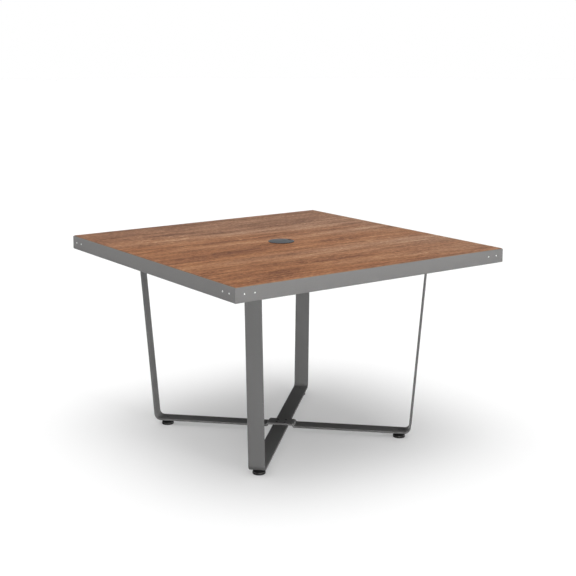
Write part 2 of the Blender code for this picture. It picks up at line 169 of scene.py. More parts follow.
class NodeSketch:
    """Lays out the nodes of one shader tree and links them."""

    def __init__(self, tree: NodeTree) -> None:
        """Start on an empty tree.

        Args:
            tree: Node tree of a material, a world or a group.
        """
        self.tree = tree
        tree.nodes.clear()

    def add(self, kind: str, feeds: Mapping[Any, Any] | None = None, **settings: Any) -> Node:
        """Add a node.

        Args:
            kind: Blender's type name of the node.
            feeds: What goes into each input, by name or number: a socket to link or a plain value.
            **settings: Attributes of the node itself.

        Returns:
            The new node.
        """
        node = self.tree.nodes.new(kind)
        for name, value in settings.items():
            setattr(node, name, value)
        for key, feed in (feeds or {}).items():
            if isinstance(feed, NodeSocket):
                self.tree.links.new(feed, node.inputs[key])
            else:
                node.inputs[key].default_value = feed
        return node

    def place(self) -> NodeSocket:
        """Object coordinates, which are metres in the table's own frame."""
        return self.add("ShaderNodeTexCoord").outputs["Object"]

    def part(self, vector: NodeSocket, axis: int) -> NodeSocket:
        """One of a vector's three values."""
        return self.add("ShaderNodeSeparateXYZ", {0: vector}).outputs[axis]

    def math(self, operation: str, first: Any, second: Any = 0.0, third: Any = 0.0) -> NodeSocket:
        """Work out one value.

        Args:
            operation: Name of the sum, such as MULTIPLY_ADD.
            first: First socket or number.
            second: Second socket or number.
            third: Third socket or number, where the sum has one.

        Returns:
            The result's socket.
        """
        feeds = {0: first, 1: second, 2: third}
        return self.add("ShaderNodeMath", feeds, operation=operation).outputs[0]

    def vectors(self, operation: str, first: Any, second: Any) -> Node:
        """Work out one sum with two vectors."""
        return self.add("ShaderNodeVectorMath", {0: first, 1: second}, operation=operation)

    def noise(self, place: NodeSocket, cloud: Cloud) -> NodeSocket:
        """Cloudy values from 0 to 1.

        Args:
            place: Coordinates to read.
            cloud: What the noise is like.

        Returns:
            The value's socket.
        """
        mapped = self.add("ShaderNodeMapping", {"Vector": place, "Scale": cloud.stretch})
        feeds = {
            "Vector": mapped.outputs[0],
            "Scale": 1.0,
            "Detail": cloud.detail,
            "Roughness": cloud.roughness,
        }
        return self.add("ShaderNodeTexNoise", feeds).outputs[0]

    def spots(self, place: NodeSocket, spots: Spots) -> NodeSocket:
        """Noise of which only the peaks show."""
        return self.band(self.noise(place, spots), spots.low, spots.high)

    def band(self, value: Any, low: float, high: float, smooth: bool = True) -> NodeSocket:
        """Spread a stretch of values over 0 to 1.

        Args:
            value: Socket to read.
            low: Value that becomes 0.
            high: Value that becomes 1.
            smooth: Whether the ends ease in and out.

        Returns:
            The value's socket.
        """
        feeds = {"Value": value, "From Min": low, "From Max": high}
        kind = "SMOOTHSTEP" if smooth else "LINEAR"
        return self.add("ShaderNodeMapRange", feeds, interpolation_type=kind).outputs[0]

    def ramp(self, value: Any, stops: Sequence[tuple[float, Colour]]) -> NodeSocket:
        """Colour by value.

        Args:
            value: Socket to read.
            stops: Pairs of a value and its colour, in order.

        Returns:
            The colour's socket.
        """
        node = self.add("ShaderNodeValToRGB", {0: value})
        elements = node.color_ramp.elements
        while len(elements) < len(stops):
            elements.new(1.0)
        for element, (spot, colour) in zip(elements, stops):
            element.position = spot
            element.color = (*colour, 1.0)
        return node.outputs[0]

    def mix(self, factor: Any, first: Any, second: Any, blend: str = "MIX") -> NodeSocket:
        """Mix two colours.

        Args:
            factor: Share of the second colour.
            first: First socket or colour.
            second: Second socket or colour.
            blend: How the second goes over the first.

        Returns:
            The colour's socket.
        """
        feeds = {0: factor, 6: opaque(first), 7: opaque(second)}
        node = self.add("ShaderNodeMix", feeds, data_type="RGBA", blend_type=blend)
        return node.outputs[2]

    def bump(self, height: Any, depth: float) -> NodeSocket:
        """Surface relief.

        Args:
            height: Socket with heights from 0 to 1.
            depth: Depth of the relief in metres.

        Returns:
            The normal's socket.
        """
        return self.add("ShaderNodeBump", {"Height": height, "Distance": depth, "Strength": 1.0}).outputs[0]

    def use(self, group: NodeTree, feeds: Mapping[str, Any]) -> Node:
        """Place a shared group in this tree, with a feed for each of its inputs by name."""
        return self.add("ShaderNodeGroup", feeds, node_tree=group)


def opaque(colour: Any) -> Any:
    """Give a plain colour its alpha and pass sockets on."""
    return colour if isinstance(colour, NodeSocket) else (*colour, 1.0)


@dataclass(frozen=True)
class SharedEffect:
    """A node group with named sockets, built once."""

    name: str
    inputs: tuple[tuple[str, str], ...]
    outputs: tuple[tuple[str, str], ...]

    def group(self) -> NodeTree:
        """Find the group, or build it.

        Returns:
            The node group.
        """
        known = bpy.data.node_groups.get(self.name)
        if known:
            return known
        tree = bpy.data.node_groups.new(self.name, "ShaderNodeTree")
        for direction, sockets in (("INPUT", self.inputs), ("OUTPUT", self.outputs)):
            for name, kind in sockets:
                tree.interface.new_socket(name, in_out=direction, socket_type=kind)
        sketch = NodeSketch(tree)
        entry = sketch.add("NodeGroupInput").outputs
        leaving = self.draw(sketch, {name: entry[name] for name, _ in self.inputs})
        sketch.add("NodeGroupOutput", leaving)
        return tree

    def draw(self, sketch: NodeSketch, entry: Mapping[str, NodeSocket]) -> dict[str, Any]:
        """Draw the nodes between the group's inputs and outputs.

        Args:
            sketch: Sketch of the group's tree.
            entry: Sockets that bring the inputs, by name.

        Returns:
            Sockets that feed the outputs, by name.
        """
        raise NotImplementedError


@dataclass(frozen=True)
class FineGrit(SharedEffect):
    """Fine relief and speckle of paint and moulded plastic."""

    name: str = "fine_grit"
    inputs: tuple[tuple[str, str], ...] = (("Place", "NodeSocketVector"), ("Grains", "NodeSocketFloat"))
    outputs: tuple[tuple[str, str], ...] = (("Height", "NodeSocketFloat"), ("Speckle", "NodeSocketFloat"))
    finer: float = 3.7
    speckle_height: float = 0.2

    def draw(self, sketch: NodeSketch, entry: Mapping[str, NodeSocket]) -> dict[str, Any]:
        """Draw a rolling relief with a finer speckle on it.

        Args:
            sketch: Sketch of the group's tree.
            entry: Sockets that bring the inputs, by name.

        Returns:
            Sockets that feed the outputs, by name.
        """
        rolling_feeds = {"Vector": entry["Place"], "Scale": entry["Grains"], "Detail": 2.0}
        rolling = sketch.add("ShaderNodeTexNoise", rolling_feeds).outputs[0]
        finer = sketch.math("MULTIPLY", entry["Grains"], self.finer)
        cells = sketch.add("ShaderNodeTexVoronoi", {"Vector": entry["Place"], "Scale": finer})
        speckle = sketch.add("ShaderNodeSeparateColor", {0: cells.outputs["Color"]}).outputs[0]
        height = sketch.math("MULTIPLY_ADD", speckle, self.speckle_height, rolling)
        return {"Height": height, "Speckle": speckle}


@dataclass(frozen=True)
class HandlingHaze(SharedEffect):
    """Broad uneven gloss that wiping and handling leave."""

    name: str = "handling_haze"
    inputs: tuple[tuple[str, str], ...] = (
        ("Place", "NodeSocketVector"),
        ("Roughness", "NodeSocketFloat"),
        ("Spread", "NodeSocketFloat"),
    )
    outputs: tuple[tuple[str, str], ...] = (("Roughness", "NodeSocketFloat"), ("Cloud", "NodeSocketFloat"))
    clouds: Cloud = Cloud((5.0, 5.0, 5.0), 3.0, strength=0.6)
    wipes: Cloud = Cloud((9.0, 60.0, 30.0), strength=0.4)

    def draw(self, sketch: NodeSketch, entry: Mapping[str, NodeSocket]) -> dict[str, Any]:
        """Draw wiping streaks over broad clouds.

        Args:
            sketch: Sketch of the group's tree.
            entry: Sockets that bring the inputs, by name.

        Returns:
            Sockets that feed the outputs, by name.
        """
        clouds = sketch.noise(entry["Place"], self.clouds)
        wipes = sketch.noise(entry["Place"], self.wipes)
        both = sketch.math("MULTIPLY", clouds, self.clouds.strength)
        both = sketch.math("MULTIPLY_ADD", wipes, self.wipes.strength, both)
        uneven = sketch.math("SUBTRACT", both, NOISE_MEAN)
        roughness = sketch.math("MULTIPLY_ADD", uneven, entry["Spread"], entry["Roughness"])
        return {"Roughness": roughness, "Cloud": clouds}


@dataclass(frozen=True)
class FigurePatch(SharedEffect):
    """Soft oval mask for a patch of stronger figure in the wood."""

    name: str = "figure_patch"
    inputs: tuple[tuple[str, str], ...] = (
        ("Place", "NodeSocketVector"),
        ("Middle", "NodeSocketVector"),
        ("Reach", "NodeSocketVector"),
    )
    outputs: tuple[tuple[str, str], ...] = (("Mask", "NodeSocketFloat"),)
    ragged: Cloud = Cloud((7.0, 34.0, 1.0), 3.0, strength=0.9)
    core: float = 0.25

    def draw(self, sketch: NodeSketch, entry: Mapping[str, NodeSocket]) -> dict[str, Any]:
        """Draw the mask from the distance to its middle, with a ragged rim.

        Args:
            sketch: Sketch of the group's tree.
            entry: Sockets that bring the inputs, by name.

        Returns:
            Sockets that feed the outputs, by name.
        """
        away = sketch.vectors("SUBTRACT", entry["Place"], entry["Middle"]).outputs[0]
        share = sketch.vectors("DIVIDE", away, entry["Reach"]).outputs[0]
        along, across = (sketch.part(share, axis) for axis in (0, 1))
        squared = sketch.math("MULTIPLY", along, along)
        distance = sketch.math("SQRT", sketch.math("MULTIPLY_ADD", across, across, squared))
        ragged = sketch.noise(entry["Place"], self.ragged)
        nearer = sketch.math("SUBTRACT", distance, self.ragged.strength * NOISE_MEAN)
        rim = sketch.math("MULTIPLY_ADD", ragged, self.ragged.strength, nearer)
        return {"Mask": sketch.math("SUBTRACT", 1.0, sketch.band(rim, self.core, 1.0))}


# Finishes


@dataclass(frozen=True)
class Finish:
    """A finish: its name and the values that are even all over it."""

    name: str
    roughness: float
    specular: float = 0.5
    metallic: float = 0.0
    spread: float = 0.12
    relief: float = 0.00004

    def material(self) -> Material:
        """Find the finish's material, or mix it.

        Returns:
            The material.
        """
        known = bpy.data.materials.get(self.name)
        if known:
            return known
        material = bpy.data.materials.new(self.name)
        material.use_nodes = True
        sketch = NodeSketch(material.node_tree)
        even = {"Specular IOR Level": self.specular, "Metallic": self.metallic}
        shader = sketch.add("ShaderNodeBsdfPrincipled", even)
        sketch.add("ShaderNodeOutputMaterial", {"Surface": shader.outputs[0]})
        for name, socket in self.mix_up(sketch).items():
            sketch.tree.links.new(socket, shader.inputs[name])
        return material

    def mix_up(self, sketch: NodeSketch) -> dict[str, NodeSocket]:
        """Draw what changes over the surface.

        Args:
            sketch: Sketch of the material's tree.

        Returns:
            Sockets for the shader's inputs, by name.
        """
        raise NotImplementedError

    def haze(self, sketch: NodeSketch, place: NodeSocket) -> Node:
        """Group node of the finish's uneven gloss."""
        feeds = {"Place": place, "Roughness": self.roughness, "Spread": self.spread}
        return sketch.use(HandlingHaze().group(), feeds)

    @staticmethod
    def grit(sketch: NodeSketch, place: NodeSocket, grains: float) -> Node:
        """Group node of a fine relief with so many grains per metre."""
        return sketch.use(FineGrit().group(), {"Place": place, "Grains": grains})

    def surface(
        self, sketch: NodeSketch, haze: Node, colour: NodeSocket, height: NodeSocket
    ) -> dict[str, NodeSocket]:
        """Gather what changes over the surface.

        Args:
            sketch: Sketch of the material's tree.
            haze: Group node of the uneven gloss.
            colour: The surface's colour.
            height: Heights of its relief.

        Returns:
            Sockets for the shader's inputs, by name.
        """
        return {
            "Base Color": colour,
            "Roughness": haze.outputs["Roughness"],
            "Normal": sketch.bump(height, self.relief),
        }


@dataclass(frozen=True)
class Plank:
    """A stop across the printed planks: its distance from the front edge, lightness and redness, which is
    kept low on the back planks as a painted sheen.
    """

    inset: float
    tone: float
    red: float


@dataclass(frozen=True)
class Figure:
    """A patch of figure in the print: its middle, its reach, how much lighter it is and how flecked."""

    along: float
    across: float
    length: float
    width: float
    tone: float
    burl: float


@dataclass(frozen=True)
class GrowthLines:
    """Thin broken lines in the print: a bent wave of which only the crests show."""

    stretch: Stretch = (0.30, 1.0, 1.0)
    scale: float = 11.0
    distortion: float = 5.0
    detail: float = 3.0
    detail_scale: float = 1.6
    crest: float = 0.80
    breaks: Spots = Spots((3.0, 12.0, 1.0), low=0.44, high=0.62)
    strength: float = -0.12

    def draw(self, sketch: NodeSketch, grain: NodeSocket) -> NodeSocket:
        """Draw the lines.

        Args:
            sketch: Sketch of the material's tree.
            grain: Grain coordinates.

        Returns:
            Socket that is 1 on a line and 0 between the lines.
        """
        mapped = sketch.add("ShaderNodeMapping", {"Vector": grain, "Scale": self.stretch})
        feeds = {
            "Vector": mapped.outputs[0],
            "Scale": self.scale,
            "Distortion": self.distortion,
            "Detail": self.detail,
            "Detail Scale": self.detail_scale,
        }
        wave = sketch.add("ShaderNodeTexWave", feeds, wave_type="BANDS", bands_direction="Y")
        lines = sketch.band(wave.outputs[1], self.crest, 1.0)
        return sketch.math("MULTIPLY", lines, sketch.spots(grain, self.breaks))


@dataclass(frozen=True)
class WoodLaminate(Finish):
    """Warm brown wood print: wide soft-edged planks, streaks, patches of short flecks and pores, with a
    painted sheen that leaves the back planks and the +X side paler and greyer.
    """

    name: str = "wood_laminate_look"
    roughness: float = 0.52
    specular: float = 0.04
    spread: float = 0.10
    relief: float = 0.00006
    width: float = 1.1934
    tones: tuple[tuple[float, Colour], ...] = (
        (0.00, (0.088, 0.033, 0.014)),
        (0.26, (0.154, 0.066, 0.031)),
        (0.50, (0.262, 0.131, 0.071)),
        (0.74, (0.348, 0.203, 0.121)),
        (1.00, (0.480, 0.330, 0.220)),
    )
    red_shift: Colour = (1.01, 0.79, 0.53)
    # Redness is kept low on the last planks, at the back: a painted sheen that leaves the back paler and
    # greyer.
    planks: tuple[Plank, ...] = (
        Plank(0.03, 0.47, 0.80),
        Plank(0.11, 0.55, 0.70),
        Plank(0.21, 0.48, 0.75),
        Plank(0.35, 0.60, 0.40),
        Plank(0.43, 0.48, 0.90),
        Plank(0.55, 0.44, 0.95),
        Plank(0.65, 0.57, 0.60),
        Plank(0.72, 0.46, 0.75),
        Plank(0.85, 0.57, 0.25),
        Plank(0.99, 0.42, 0.20),
        Plank(1.07, 0.45, 0.10),
        Plank(1.17, 0.40, 0.10),
    )
    figures: tuple[Figure, ...] = (
        Figure(-0.360, 0.113, 0.22, 0.030, -0.17, 0.5),
        Figure(0.530, 0.113, 0.13, 0.030, -0.13, 0.5),
        Figure(-0.080, 0.127, 0.14, 0.030, 0.05, 0.9),
        Figure(-0.080, -0.393, 0.32, 0.075, -0.09, 0.6),
        Figure(-0.560, -0.367, 0.09, 0.050, -0.12, 0.4),
        Figure(-0.333, -0.107, 0.34, 0.060, -0.12, 0.4),
        Figure(0.320, -0.180, 0.16, 0.026, -0.03, 1.0),
        Figure(0.267, 0.347, 0.24, 0.060, -0.12, 0.6),
        Figure(-0.360, 0.280, 0.26, 0.130, 0.03, 0.6),
        Figure(0.210, -0.095, 0.22, 0.070, -0.15, 0.6),
        Figure(-0.467, -0.560, 0.22, 0.050, -0.12, 0.3),
        Figure(-0.300, 0.440, 0.48, 0.130, -0.10, 0.3),
    )
    flecks_everywhere: float = 0.30
    sway: Cloud = Cloud((1.3, 2.2, 1.0), 1.0, strength=0.050)
    ripple: Cloud = Cloud((6.0, 14.0, 1.0), strength=0.012)
    streaks: Cloud = Cloud((1.8, 24.0, 1.0), 5.0, 0.62, 0.95)
    threads: Cloud = Cloud((5.0, 46.0, 1.0), 4.0, 0.6, 0.95)
    lines: GrowthLines = GrowthLines()
    mottle: Cloud = Cloud((26.0, 70.0, 1.0), 4.0, 0.66, 0.22)
    specks: Cloud = Cloud((75.0, 140.0, 1.0), 2.0, 0.6, 0.90)
    pale_flecks: Spots = Spots((34.0, 90.0, 3.0), 3.0, strength=0.34, low=0.56, high=0.66)
    dark_flecks: Spots = Spots((28.0, 105.0, 7.0), 3.0, strength=-0.30, low=0.56, high=0.68)
    fibres: Cloud = Cloud((16.0, 620.0, 1.0), 3.0, 0.6, 0.30)
    pores: Spots = Spots((70.0, 1500.0, 1.0), 1.0, strength=-0.14, low=0.60, high=0.72)
    pore_depth: float = 0.7
    reddening: Cloud = Cloud((2.5, 9.0, 1.0), 3.0, strength=0.6)
    # Painted sheen: how much the redness fades along +X.
    painted_sheen_fade: float = 0.60
    edge_height: float = 0.7616
    edge_fade: float = 0.0002
    edge_tone: Colour = (0.215, 0.135, 0.095)

    def mix_up(self, sketch: NodeSketch) -> dict[str, NodeSocket]:
        """Draw the print in grain coordinates that sway along X.

        Args:
            sketch: Sketch of the material's tree.

        Returns:
            Sockets for the shader's inputs, by name.
        """
        place = sketch.place()
        grain = self.swayed(sketch, place)
        tone = self.across_planks(sketch, grain, [plank.tone for plank in self.planks])
        tone, burl = self.figured(sketch, grain, tone)
        tone = self.clouded(sketch, grain, tone, self.streaks, self.threads)
        tone = sketch.math("MULTIPLY_ADD", self.lines.draw(sketch, grain), self.lines.strength, tone)
        tone = self.clouded(sketch, grain, tone, self.mottle, self.specks)
        tone = self.flecked(sketch, grain, tone, burl)
        fibres = sketch.noise(grain, self.fibres)
        uneven = sketch.math("SUBTRACT", fibres, NOISE_MEAN)
        tone = sketch.math("MULTIPLY_ADD", uneven, self.fibres.strength, tone)
        pores = sketch.spots(grain, self.pores)
        tone = sketch.math("MULTIPLY_ADD", pores, self.pores.strength, tone)
        colour = self.reddened(sketch, place, grain, sketch.ramp(tone, self.tones))
        printed = sketch.band(sketch.part(place, 2), self.edge_height - self.edge_fade, self.edge_height)
        colour = sketch.mix(printed, self.edge_tone, colour)
        height = sketch.math("MULTIPLY_ADD", pores, -self.pore_depth, fibres)
        return self.surface(sketch, self.haze(sketch, place), colour, height)

    @staticmethod
    def clouded(sketch: NodeSketch, place: NodeSocket, tone: Any, *clouds: Cloud) -> Any:
        """Lighten and darken a tone by noise whose mean is a half.

        Args:
            sketch: Sketch of the material's tree.
            place: Coordinates to read.
            tone: Tone so far.
            *clouds: Noise that goes over it, in order.

        Returns:
            The new tone.
        """
        for cloud in clouds:
            uneven = sketch.math("SUBTRACT", sketch.noise(place, cloud), NOISE_MEAN)
            tone = sketch.math("MULTIPLY_ADD", uneven, cloud.strength, tone)
        return tone

    def swayed(self, sketch: NodeSketch, place: NodeSocket) -> NodeSocket:
        """Bend the grain's lines gently along their length.

        Args:
            sketch: Sketch of the material's tree.
            place: Object coordinates.

        Returns:
            The grain coordinates' socket.
        """
        shift = self.clouded(sketch, place, 0.0, self.sway, self.ripple)
        offset = sketch.add("ShaderNodeCombineXYZ", {"Y": shift}).outputs[0]
        return sketch.vectors("ADD", place, offset).outputs[0]

    def across_planks(self, sketch: NodeSketch, grain: NodeSocket, values: Sequence[float]) -> NodeSocket:
        """Blend a value of the planks from front to back.

        Args:
            sketch: Sketch of the material's tree.
            grain: Grain coordinates.
            values: Value at each plank.

        Returns:
            The value's socket.
        """
        share = sketch.band(sketch.part(grain, 1), -self.width / 2, self.width / 2, smooth=False)
        stops = [(plank.inset / self.width, (value,) * 3) for plank, value in zip(self.planks, values)]
        return sketch.add("ShaderNodeRGBToBW", {0: sketch.ramp(share, stops)}).outputs[0]

    def figured(self, sketch: NodeSketch, grain: NodeSocket, tone: NodeSocket) -> tuple[NodeSocket, Any]:
        """Lay the patches of figure over the planks.

        Args:
            sketch: Sketch of the material's tree.
            grain: Grain coordinates.
            tone: Tone so far.

        Returns:
            The new tone, and how flecked each place is.
        """
        burl: Any = self.flecks_everywhere
        for figure in self.figures:
            feeds = {
                "Place": grain,
                "Middle": (figure.along, figure.across, 0.0),
                "Reach": (figure.length, figure.width, 1.0),
            }
            mask = sketch.use(FigurePatch().group(), feeds).outputs["Mask"]
            tone = sketch.math("MULTIPLY_ADD", mask, figure.tone, tone)
            burl = sketch.math("MULTIPLY_ADD", mask, figure.burl, burl)
        return tone, burl

    def flecked(self, sketch: NodeSketch, grain: NodeSocket, tone: NodeSocket, burl: Any) -> NodeSocket:
        """Draw pale and dark flecks, strongest where the print is figured.

        Args:
            sketch: Sketch of the material's tree.
            grain: Grain coordinates.
            tone: Tone so far.
            burl: How flecked each place is.

        Returns:
            The new tone.
        """
        for flecks in (self.pale_flecks, self.dark_flecks):
            shown = sketch.math("MULTIPLY", sketch.spots(grain, flecks), burl)
            tone = sketch.math("MULTIPLY_ADD", shown, flecks.strength, tone)
        return tone

    def reddened(
        self, sketch: NodeSketch, place: NodeSocket, grain: NodeSocket, colour: NodeSocket
    ) -> NodeSocket:
        """Redden the print plank by plank, and less towards +X; the low redness of the back planks and
        towards +X is a painted sheen.

        Args:
            sketch: Sketch of the material's tree.
            place: Object coordinates.
            grain: Grain coordinates.
            colour: Colour so far.

        Returns:
            The new colour.
        """
        red = self.across_planks(sketch, grain, [plank.red for plank in self.planks])
        red = self.clouded(sketch, grain, red, self.reddening)
        # Painted sheen: the print turns paler and greyer towards +X.
        red = sketch.math("MULTIPLY_ADD", sketch.part(place, 0), -self.painted_sheen_fade, red)
        return sketch.mix(sketch.band(red, 0.0, 1.0), colour, self.red_shift, "MULTIPLY")


@dataclass(frozen=True)
class GrittyFinish(Finish):
    """Two close tones, mixed by a fine grit and by broad clouds."""

    light: Colour = (0.177, 0.175, 0.172)
    dark: Colour = (0.141, 0.139, 0.137)
    grains: float = 650.0
    cloud_share: float = 0.4

    def mix_up(self, sketch: NodeSketch) -> dict[str, NodeSocket]:
        """Draw the grit, its speckle and the uneven gloss.

        Args:
            sketch: Sketch of the material's tree.

        Returns:
            Sockets for the shader's inputs, by name.
        """
        place = sketch.place()
        grit = self.grit(sketch, place, self.grains)
        haze = self.haze(sketch, place)
        share = sketch.math("MULTIPLY", haze.outputs["Cloud"], self.cloud_share)
        share = sketch.math("MULTIPLY_ADD", grit.outputs["Speckle"], 1.0 - self.cloud_share, share)
        colour = sketch.mix(share, self.dark, self.light)
        return self.surface(sketch, haze, colour, grit.outputs["Height"])


@dataclass(frozen=True)
class PowderCoat(GrittyFinish):
    """Grey powder coat with a fine metallic grain and a slight orange peel."""

    name: str = "rail_paint_look"
    roughness: float = 0.60
    specular: float = 0.02


@dataclass(frozen=True)
class FastenerMetal(Finish):
    """Metal of screws and studs, with a mottled plating."""

    name: str = "zinc_look"
    roughness: float = 0.36
    metallic: float = 1.0
    spread: float = 0.10
    relief: float = 0.000004
    light: Colour = (0.56, 0.57, 0.58)
    dark: Colour = (0.40, 0.41, 0.42)
    mottle: Spots = Spots((400.0, 400.0, 400.0), 3.0)
    grains: float = 1600.0

    def mix_up(self, sketch: NodeSketch) -> dict[str, NodeSocket]:
        """Draw the plating's mottle and uneven gloss.

        Args:
            sketch: Sketch of the material's tree.

        Returns:
            Sockets for the shader's inputs, by name.
        """
        place = sketch.place()
        colour = sketch.mix(sketch.spots(place, self.mottle), self.dark, self.light)
        grit = self.grit(sketch, place, self.grains)
        return self.surface(sketch, self.haze(sketch, place), colour, grit.outputs["Height"])


@dataclass(frozen=True)
class MouldedPlastic(GrittyFinish):
    """Moulded plastic with a fine spark-eroded grain."""

    spread: float = 0.16
    relief: float = 0.00003
    grains: float = 900.0
    cloud_share: float = 0.5


@dataclass(frozen=True)
class PlasticWithPaintedLight(MouldedPlastic):
    """Moulded plastic with dust and painted shading below its rim and a painted highlight along the rim."""

    rim_height: float = 0.0077
    rim_width: float = 0.0011
    # Colour below the rim: dust and painted shading.
    dust_and_painted_shading: Colour = (0.022, 0.022, 0.021)
    # Colour of a painted highlight along the rim.
    painted_rim_highlight: Colour = (0.120, 0.118, 0.115)
    # Noise that makes both painted marks patchy.
    patchiness: Spots = Spots((90.0, 90.0, 90.0), 3.0, low=0.25, high=0.60)

    def mix_up(self, sketch: NodeSketch) -> dict[str, NodeSocket]:
        """Lay the dust and painted shading below the rim and a painted highlight along it.

        Args:
            sketch: Sketch of the material's tree.

        Returns:
            Sockets for the shader's inputs, by name.
        """
        sockets = super().mix_up(sketch)
        place = sketch.place()
        height = sketch.part(place, 2)
        above = sketch.band(height, self.rim_height, self.rim_height + self.rim_width / 2)
        below_rim = sketch.math("SUBTRACT", 1.0, above)
        away = sketch.math("ABSOLUTE", sketch.math("SUBTRACT", height, self.rim_height))
        rim = sketch.math("SUBTRACT", 1.0, sketch.band(away, self.rim_width / 2, self.rim_width))
        patchiness = sketch.spots(place, self.patchiness)
        # Below the rim: dust and painted shading, in patches.
        colour = sketch.mix(sketch.math("MULTIPLY", below_rim, patchiness), sockets["Base Color"], self.dust_and_painted_shading)
        # Along the rim: a painted highlight, in patches.
        sockets["Base Color"] = sketch.mix(sketch.math("MULTIPLY", rim, patchiness), colour, self.painted_rim_highlight)
        return sockets


@dataclass(frozen=True)
class PressedBoard(Finish):
    """Raw particle board: pressed chips of several browns."""

    name: str = "board_look"
    roughness: float = 0.85
    specular: float = 0.2
    spread: float = 0.10
    relief: float = 0.0004
    chips: tuple[tuple[float, Colour], ...] = (
        (0.0, (0.20, 0.12, 0.06)),
        (0.4, (0.38, 0.25, 0.14)),
        (1.0, (0.56, 0.42, 0.26)),
    )
    chips_per_metre: float = 330.0
    chip_stretch: Stretch = (0.5, 0.5, 1.6)

    def mix_up(self, sketch: NodeSketch) -> dict[str, NodeSocket]:
        """Draw the chips as cells, each with a tone of its own.

        Args:
            sketch: Sketch of the material's tree.

        Returns:
            Sockets for the shader's inputs, by name.
        """
        place = sketch.place()
        flat = sketch.add("ShaderNodeMapping", {"Vector": place, "Scale": self.chip_stretch}).outputs[0]
        cells = sketch.add("ShaderNodeTexVoronoi", {"Vector": flat, "Scale": self.chips_per_metre})
        tone = sketch.add("ShaderNodeSeparateColor", {0: cells.outputs["Color"]}).outputs[0]
        colour = sketch.ramp(tone, self.chips)
        return self.surface(sketch, self.haze(sketch, place), colour, cells.outputs["Distance"])


@dataclass(frozen=True)
class BackingPaper(Finish):
    """Dark brown backing laminate with faint paper fibres."""

    name: str = "backing_paper_look"
    roughness: float = 0.72
    specular: float = 0.25
    light: Colour = (0.085, 0.072, 0.062)
    dark: Colour = (0.050, 0.041, 0.035)
    fibres: Spots = Spots((30.0, 260.0, 30.0), 4.0, 0.65, low=0.3, high=0.8)
    grains: float = 500.0
    speckle_share: float = 0.25

    def mix_up(self, sketch: NodeSketch) -> dict[str, NodeSocket]:
        """Draw the fibres and a fine press texture.

        Args:
            sketch: Sketch of the material's tree.

        Returns:
            Sockets for the shader's inputs, by name.
        """
        place = sketch.place()
        grit = self.grit(sketch, place, self.grains)
        fibres = sketch.spots(place, self.fibres)
        share = sketch.math("MULTIPLY_ADD", grit.outputs["Speckle"], self.speckle_share, fibres)
        colour = sketch.mix(share, self.dark, self.light)
        return self.surface(sketch, self.haze(sketch, place), colour, grit.outputs["Height"])


@dataclass(frozen=True)
class Finishes:
    """Every finish of the table."""

    wood: Finish = WoodLaminate()
    board: Finish = PressedBoard()
    backing: Finish = BackingPaper()
    rail_paint: Finish = PowderCoat()
    # The rail paint made darker: painted shade of the legs under the top.
    leg_paint_with_painted_shade: Finish = PowderCoat(
        "leg_paint_painted_shade_look", specular=0.0, light=(0.145, 0.144, 0.143), dark=(0.116, 0.115, 0.114)
    )
    bright: Finish = FastenerMetal(
        "polished_screw_look", 0.26, light=(0.72, 0.72, 0.71), dark=(0.62, 0.62, 0.61)
    )
    zinc: Finish = FastenerMetal()
    black_screw: Finish = FastenerMetal(
        "black_screw_look", 0.42, 0.05, 0.0, light=(0.012, 0.012, 0.013), dark=(0.006, 0.006, 0.007)
    )
    # Painted lighter below the base's rim, partly dust and partly painted light, which leaves the hub dark as
    # in shade; a painted highlight runs along the base's rounded rim.
    glide: Finish = PlasticWithPaintedLight(
        "black_glide_look", 0.50, 0.03, light=(0.009, 0.009, 0.009), dark=(0.005, 0.005, 0.005)
    )
    # Painted shade: the flange's outer wall, below the rim, is darkened; a painted highlight band lies on the
    # sloped flange.
    sleeve: Finish = PlasticWithPaintedLight(
        "grommet_sleeve_look",
        0.50,
        0.04,
        light=(0.080, 0.083, 0.088),
        dark=(0.060, 0.063, 0.068),
        rim_height=0.7650,
        rim_width=0.0005,
        dust_and_painted_shading=(0.008, 0.008, 0.009),
        painted_rim_highlight=(0.130, 0.134, 0.142),
    )
    grommet: Finish = MouldedPlastic(
        "grey_plastic_look", 0.50, 0.04, light=(0.075, 0.078, 0.083), dark=(0.057, 0.060, 0.065)
    )


# Shared mesh work


def vertices(geometry: Iterable[Any]) -> list[BMVert]:
    """Pick the vertices out of an operator's result."""
    return [item for item in geometry if isinstance(item, BMVert)]


def edges_among(verts: Sequence[BMVert]) -> list[BMEdge]:
    """Find the edges whose two ends are both among some vertices.

    Args:
        verts: The vertices.

    Returns:
        The edges between them, in the vertices' order.
    """
    known = set(verts)
    found = dict.fromkeys(edge for vert in verts for edge in vert.link_edges)
    return [edge for edge in found if edge.verts[0] in known and edge.verts[1] in known]


def open_edges(bm: BMesh) -> list[BMEdge]:
    """Edges round the holes of a mesh."""
    return [edge for edge in bm.edges if edge.is_boundary]


def disc(bm: BMesh, radius: float, height: float, sides: int) -> list[BMVert]:
    """Add a level disc round Z and give its vertices."""
    level = Matrix.Translation((0.0, 0.0, height))
    return bmesh.ops.create_circle(bm, cap_ends=True, segments=sides, radius=radius, matrix=level)["verts"]


def pull(bm: BMesh, edges: Sequence[BMEdge], move: Sequence[float]) -> list[BMVert]:
    """Draw some edges out to new faces.

    Args:
        bm: Mesh that holds the edges.
        edges: The edges.
        move: Which way and how far.

    Returns:
        The new vertices.
    """
    moved = vertices(bmesh.ops.extrude_edge_only(bm, edges=edges)["geom"])
    bmesh.ops.translate(bm, vec=move, verts=moved)
    return moved


